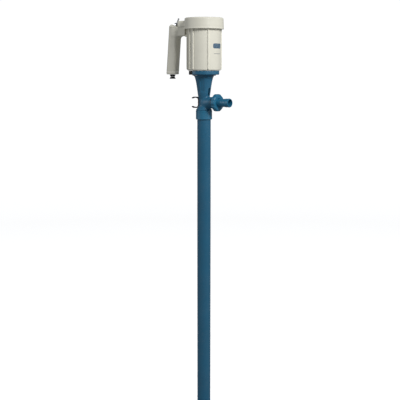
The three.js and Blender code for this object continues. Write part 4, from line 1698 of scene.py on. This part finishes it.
@dataclass
class Handle:
    """The pistol grip in two halves, with its end cap, cable gland and screws."""

    shop: Workshop
    width: float = 30.0
    depth: float = 36.0
    corner: float = 9.5
    wall: float = 3.0
    low: float = 146.0
    high: float = 283.7
    web_half: float = 14.0
    web_low: float = 256.0
    web_end: float = -64.5
    arch: float = 10.0

    SCREWS = ((-80.0, 270.0), (-120.946, 176.0))

    def build(self) -> None:
        """Builds the handle."""
        self.shell("grip_half_right", "handle_shell_right", 1)
        self.shell("grip_half_left", "handle_shell_left", -1)
        self.end_cap()
        self.gland()
        self.screws()

    @staticmethod
    def centre(z: Union[float, np.ndarray]) -> Union[float, np.ndarray]:
        """The grip's centre line, further from the motor lower down."""
        return -115 - 9 * (250 - z) / 112

    def grip(self, p: np.ndarray, inset: float) -> np.ndarray:
        """Distance to the grip and its web, moved in by an inset.

        Args:
            p: points, one to a row.
            inset: how far the surface is moved in.

        Returns:
            The distances, negative inside.
        """
        x, y, z = p.T
        edge = self.corner - inset * 0.6
        column = rounded_distance(
            x - self.centre(z), y, self.depth / 2 - inset, self.width / 2 - inset, edge
        )
        web = box_distance(
            p, (-115, -self.web_half + inset, self.web_low + inset),
            (-40, self.web_half - inset, self.high + 20), max(3.2 - inset, 0.3),
        )
        return smooth_min(column, web, self.arch - inset)

    def outside(self, p: np.ndarray) -> np.ndarray:
        """Distance to the outside of the handle."""
        return self.grip(p, 0)

    def _rough(self, name: str, inset: float) -> list[bpy.types.Object]:
        """Rough shapes of the grip and web, longer than the handle at both ends.

        Args:
            name: the shapes' name.
            inset: how far they are moved in.

        Returns:
            The shapes.
        """
        plan = rounded_plan(self.depth - 2 * inset, self.width - 2 * inset, self.corner - inset * 0.6)
        rings = [
            np.column_stack([plan[:, 0] + self.centre(z), plan[:, 1], np.full(len(plan), z)])
            for z in (self.low - 8, self.high + 8)
        ]
        half = self.web_half - inset
        web = block("web", (-115, -half, self.web_low + inset), (-52, half, self.high + 8))
        return [lofted(name, np.array(rings)), web]

    def shell(self, name: str, node: str, side: int) -> None:
        """One half of the handle.

        Args:
            name: the piece's name.
            node: the CAD node it stands for.
            side: 1 for the half on +Y, -1 for the half on -Y.
        """
        half = sculpted(name, self._rough(name, 0), self.outside, 1.1)
        seam = 0.15
        ys = (seam, 20.0) if side > 0 else (-20.0, -seam)
        keep = block("keep", (-160, ys[0], self.low), (self.web_end, ys[1], self.high))
        worked(half, Cut.KEEP, keep)
        hollow, spare = self._rough("hollow", self.wall)
        bpy.data.objects.remove(spare)
        inside = block("inside", (-160, -20, self.low + self.wall), (-40, 20, self.high - self.wall))
        worked(hollow, Cut.KEEP, inside)
        web = block("w", (-112, -self.web_half + self.wall, self.web_low + self.wall),
                    (self.web_end - self.wall, self.web_half - self.wall, self.high - self.wall), 1)
        hole = turned("hole", [(0, -16), (6.3, -16), (6.3, 10), (0, 10)], 40, edge=0)
        moved(hole, SwitchGroup.seat_matrix())
        worked(half, Cut.TAKE, hollow, web, hole)
        reach = sorted((side * 0.15, side * 12.6))
        worked(half, Cut.ADD, *[self._bar(x, z, 4.2, *reach) for x, z in self.SCREWS])
        tools = [self._bar(x, z, 1.9, *sorted((0.0, side * 12.0))) for x, z in self.SCREWS]
        if side > 0:
            tools += [self._bar(x, z, 3.9, self.width / 2 - 3.2, 18) for x, z in self.SCREWS]
        worked(half, Cut.TAKE, *tools)
        self.shop.fit(smoothed(half, 40), self.shop.finishes.cream, node)

    @staticmethod
    def _bar(x: float, z: float, radius: float, low: float, high: float) -> bpy.types.Object:
        """A round bar along Y between two depths."""
        bar = turned("bar", [(0, low), (radius, low), (radius, high), (0, high)], 32, edge=0)
        return moved(bar, Matrix.Translation((x, 0, z)) @ Matrix.Rotation(-math.pi / 2, 4, "X"))

    def end_cap(self) -> None:
        """The cap that closes the grip, with a rounded lower edge."""
        place = Extent.of("grip_end_cap")
        low, high = place.low.z, place.high.z
        middle = (place.low.x + place.high.x) / 2
        rings = []
        steps = (
            (2.2, low), (1.1, low + 0.25), (0.4, low + 0.9),
            (0, low + 2.2), (0, high - 0.5), (0.4, high),
        )
        for inset, z in steps:
            plan = rounded_plan(self.depth - 2 * inset, self.width - 2 * inset, self.corner - inset * 0.5)
            rings.append(np.column_stack([plan[:, 0] + middle, plan[:, 1], np.full(len(plan), z)]))
        cap = lofted("grip_foot", np.array(rings))
        hole = turned("hole", [(0, low - 5), (5, low - 5), (5, high + 5), (0, high + 5)], 40, edge=0)
        worked(cap, Cut.TAKE, moved(hole, Matrix.Translation((self.centre(138), 0, 0))))
        self.shop.fit(smoothed(cap, 50), self.shop.finishes.cream, "grip_end_cap")

    def gland(self) -> None:
        """The black cable gland: a nut above a fluted bell."""
        at = Matrix.Translation((self.centre(138), 0, 0))
        top = Extent.of("gland_nut").high.z

        def fluted(angles: np.ndarray, radius: float, height: float) -> np.ndarray:
            """Draws fine flutes where the radius is large."""
            return radius * (1 + (0.03 if radius > 6.5 else 0.0) * np.cos(14 * angles))

        nut = turned("gland_collar", [
            (4.2, top - 6), (6.6, top - 6), (8.6, top - 3.4), (9.2, top - 0.4), (4.2, top),
        ], 168, hollow=True, edge=0.4, wave=fluted, sharp=50)
        self.shop.fit(moved(nut, at), self.shop.finishes.black, "gland_nut")
        bell = turned("gland_bell", [
            (3.8, top - 13.5), (8.9, top - 13.5), (9.3, top - 12.2), (7, top - 8.6),
            (6.3, top - 6.3), (3.8, top - 6.3),
        ], 168, hollow=True, edge=0.5, wave=fluted, sharp=50)
        self.shop.fit(moved(bell, at), self.shop.finishes.black, "cable_gland")

    def screws(self) -> None:
        """The two screws that hold the halves together."""
        for i, (x, z) in enumerate(self.SCREWS, 1):
            bolt = screw(f"grip_bolt_{i}", 3.4, 1.8, 1.6, 20)
            place = Matrix.Translation((x, self.width / 2 - 2.3, z))
            moved(bolt, place @ Matrix.Rotation(-math.pi / 2, 4, "X"))
            self.shop.fit(bolt, self.shop.finishes.steel, f"grip_screw_{i}")


@dataclass
class SwitchGroup:
    """The toggle switch on its tilted seat."""

    shop: Workshop
    lean: float = 15.0
    place: float = -110.0
    pivot: float = 4.0

    @staticmethod
    def seat_matrix() -> Matrix:
        """From the switch's own axes, +Z along its bush, to the seat on the arm.

        Returns:
            The matrix.
        """
        tilt = math.radians(TopCover.tilt)
        rise = (TopCover.seat_start - SwitchGroup.place) * math.tan(tilt)
        seat = Matrix.Translation((SwitchGroup.place, 0, TopCover.seat_base + rise))
        return seat @ Matrix.Rotation(tilt, 4, "Y")

    def build(self) -> None:
        """Builds the switch."""
        seat = self.seat_matrix()
        box = block("switch_case", (-3, -6, -30), (11, 6, -14), 0.8)
        stem = turned("stem", [(0, -15), (5.4, -15), (5.4, 1.5), (0, 1.5)], 48, edge=0)
        worked(box, Cut.ADD, stem)
        worked(box, Cut.TAKE, turned("mouth", [(0, -10), (3.4, -10), (3.4, 3), (0, 3)], 32, edge=0))
        self.shop.fit(moved(box, seat), self.shop.finishes.black, "switch_body")
        self.shop.attach(moved(self.bush(), seat), self.shop.finishes.chrome, "switch_nut")
        self.shop.fit(moved(self.nut(), seat), self.shop.finishes.chrome, "switch_nut")
        self.lever(seat)

    @staticmethod
    def bush() -> bpy.types.Object:
        """The threaded bush with its wide mouth.

        Returns:
            The bush.
        """
        ridges: list[Point2] = []
        for k in range(9):
            z = 0.4 + 0.8 * k
            ridges += [(5.25, z), (5.6, z + 0.4)]
        return turned("switch_bush", [
            (3.6, 0.2), (5.25, 0.2), *ridges, (5.1, 7.8), (4.6, 8), (3.4, 3.6),
        ], 72, hollow=True, edge=0.08)

    @staticmethod
    def nut() -> bpy.types.Object:
        """The washer and the chamfered hexagon nut.

        Returns:
            The nut and washer.
        """
        washer = turned("switch_hexagon", [
            (6, 0.3), (10, 0.3), (10, 1.6), (6, 1.6),
        ], 96, hollow=True, edge=0.25)
        flats = [(9.2 * math.cos(a), 9.2 * math.sin(a)) for a in np.arange(6) * TURN / 6]
        hexagon = slab("hexagon", flats, 1.5, 5.4)
        dome = turned("dome", [(0, 1), (9.3, 1), (9.3, 4.5), (8.1, 5.4), (7.6, 6), (0, 6)], 96, edge=0)
        worked(hexagon, Cut.KEEP, dome)
        worked(hexagon, Cut.TAKE, turned("bore", [(0, 0), (5.7, 0), (5.7, 9), (0, 9)], 48, edge=0))
        return smoothed(worked(washer, Cut.ADD, hexagon), 25)

    def lever(self, seat: Matrix) -> None:
        """The chrome lever with its rounded bat end.

        Args:
            seat: the switch's place on the arm.
        """
        bat = turned("toggle_bat", [
            (0, -0.4), (1.5, 0.4), (1.6, 3), (1.75, 6), (2.2, 12), (2.65, 17), (2.6, 19.3),
            (1.9, 20.7), (0.8, 21.2), (0, 21.25),
        ], 48, edge=0.5, sharp=60)
        lean = Matrix.Rotation(math.radians(self.lean), 4, "Y")
        moved(bat, seat @ Matrix.Translation((0, 0, self.pivot)) @ lean)
        self.shop.fit(bat, self.shop.finishes.chrome, "toggle_lever")


# ------------------------------------------------------------------ studio


@dataclass
class Studio:
    """The pale floor and backdrop, the soft lights and the camera."""

    floor: float = -1.0
    camera_azimuth: float = 37.0
    camera_distance: float = 2.95
    camera_height: float = 0.142
    camera_pitch: float = 7.61
    camera_yaw: float = 0.241
    lens: float = 85.5

    def build(self) -> None:
        """Builds the studio."""
        self.camera()
        self.backdrop()
        self.lights()
        scene = bpy.context.scene
        scene.view_settings.view_transform = "Standard"
        world = bpy.data.worlds.new("studio")
        world.use_nodes = True
        glow = world.node_tree.nodes["Background"].inputs
        glow["Color"].default_value = (0.93, 0.96, 1.0, 1)
        glow["Strength"].default_value = 0.24
        scene.world = world

    def camera(self) -> None:
        """The camera, looking slightly down at the pump."""
        lens = bpy.data.cameras.new("camera")
        lens.lens = self.lens
        lens.clip_end = 50
        viewer = bpy.data.objects.new("camera", lens)
        turn = math.radians(self.camera_azimuth)
        viewer.location = (
            self.camera_distance * math.sin(turn), -self.camera_distance * math.cos(turn),
            self.camera_height,
        )
        viewer.rotation_euler = (
            math.radians(90 - self.camera_pitch), 0, turn + math.radians(self.camera_yaw)
        )
        bpy.context.scene.collection.objects.link(viewer)
        bpy.context.scene.camera = viewer

    def backdrop(self) -> None:
        """A round pale floor that curves up into a wall all the way around."""
        run = [(0, 0), (4.5, 0)]
        run += [(4.5 + 1.5 * math.sin(a), 1.5 - 1.5 * math.cos(a)) for a in np.linspace(0.1, math.pi / 2, 14)]
        run.append((6, 7))
        angles = np.arange(96) * TURN / 96
        points, faces = [], []
        for radius, height in run:
            level = np.full(96, self.floor + height)
            points.append(np.stack([radius * np.cos(angles), radius * np.sin(angles), level], axis=1))
        for i in range(len(run) - 1):
            for j in range(96):
                k = (j + 1) % 96
                faces.append([i * 96 + j, i * 96 + k, (i + 1) * 96 + k, (i + 1) * 96 + j])
        sweep = made("studio_sweep", np.concatenate(points) / MM, faces)
        repaired(sweep)
        shader = Shader("pale_paper")
        shader.feed(
            Base_Color=(0.8, 0.8, 0.8), Roughness=0.9, Emission_Color=(1, 1, 1),
            Emission_Strength=0.74, Specular_IOR_Level=0.1,
        )
        sweep.data.materials.append(shader.material)
        sweep.visible_glossy = False
        sweep.visible_diffuse = False
        sweep.visible_shadow = False

    def lights(self) -> None:
        """A soft key light from the upper right, a tall side light and a weak fill."""
        self._panel("key", (2.55, -0.98, 1.75), (0, 0, 0.05), 0.8, 0.9, 78)
        self._panel("side", (2.8, 0.95, 0.9), (0, 0, -0.1), 1.2, 2.4, 15)
        self._panel("fill", (-2.5, -2.3, 0.9), (0, 0, 0), 1.6, 2.0, 24)

    @staticmethod
    def _panel(name: str, place: Sequence[float], aim: Sequence[float], width: float, height: float,
               power: float) -> None:
        """One soft rectangular light.

        Args:
            name: its name.
            place: where it stands, in metres.
            aim: the point it faces.
            width: its width.
            height: its height.
            power: its power in watts.
        """
        lamp = bpy.data.lights.new(name, "AREA")
        lamp.shape = "RECTANGLE"
        lamp.size, lamp.size_y = width, height
        lamp.energy = power
        piece = bpy.data.objects.new(name, lamp)
        piece.location = place
        piece.rotation_euler = (Vector(aim) - Vector(place)).to_track_quat("-Z", "Y").to_euler()
        bpy.context.scene.collection.objects.link(piece)


# ------------------------------------------------------------------ whole pump


def main() -> None:
    """Builds the pump, sub-assembly by sub-assembly."""
    logging.basicConfig(level=logging.INFO, format="%(name)s: %(message)s", stream=sys.stdout)
    Studio().build()
    shop = Workshop()
    for part in (ImmersionTube, PumpHead, Discharge, Motor, TopCover, Handle, SwitchGroup):
        LOG.info("building %s", part.__name__)
        part(shop).build()
    shop.carry_over()


if __name__ == "__main__":
    main()
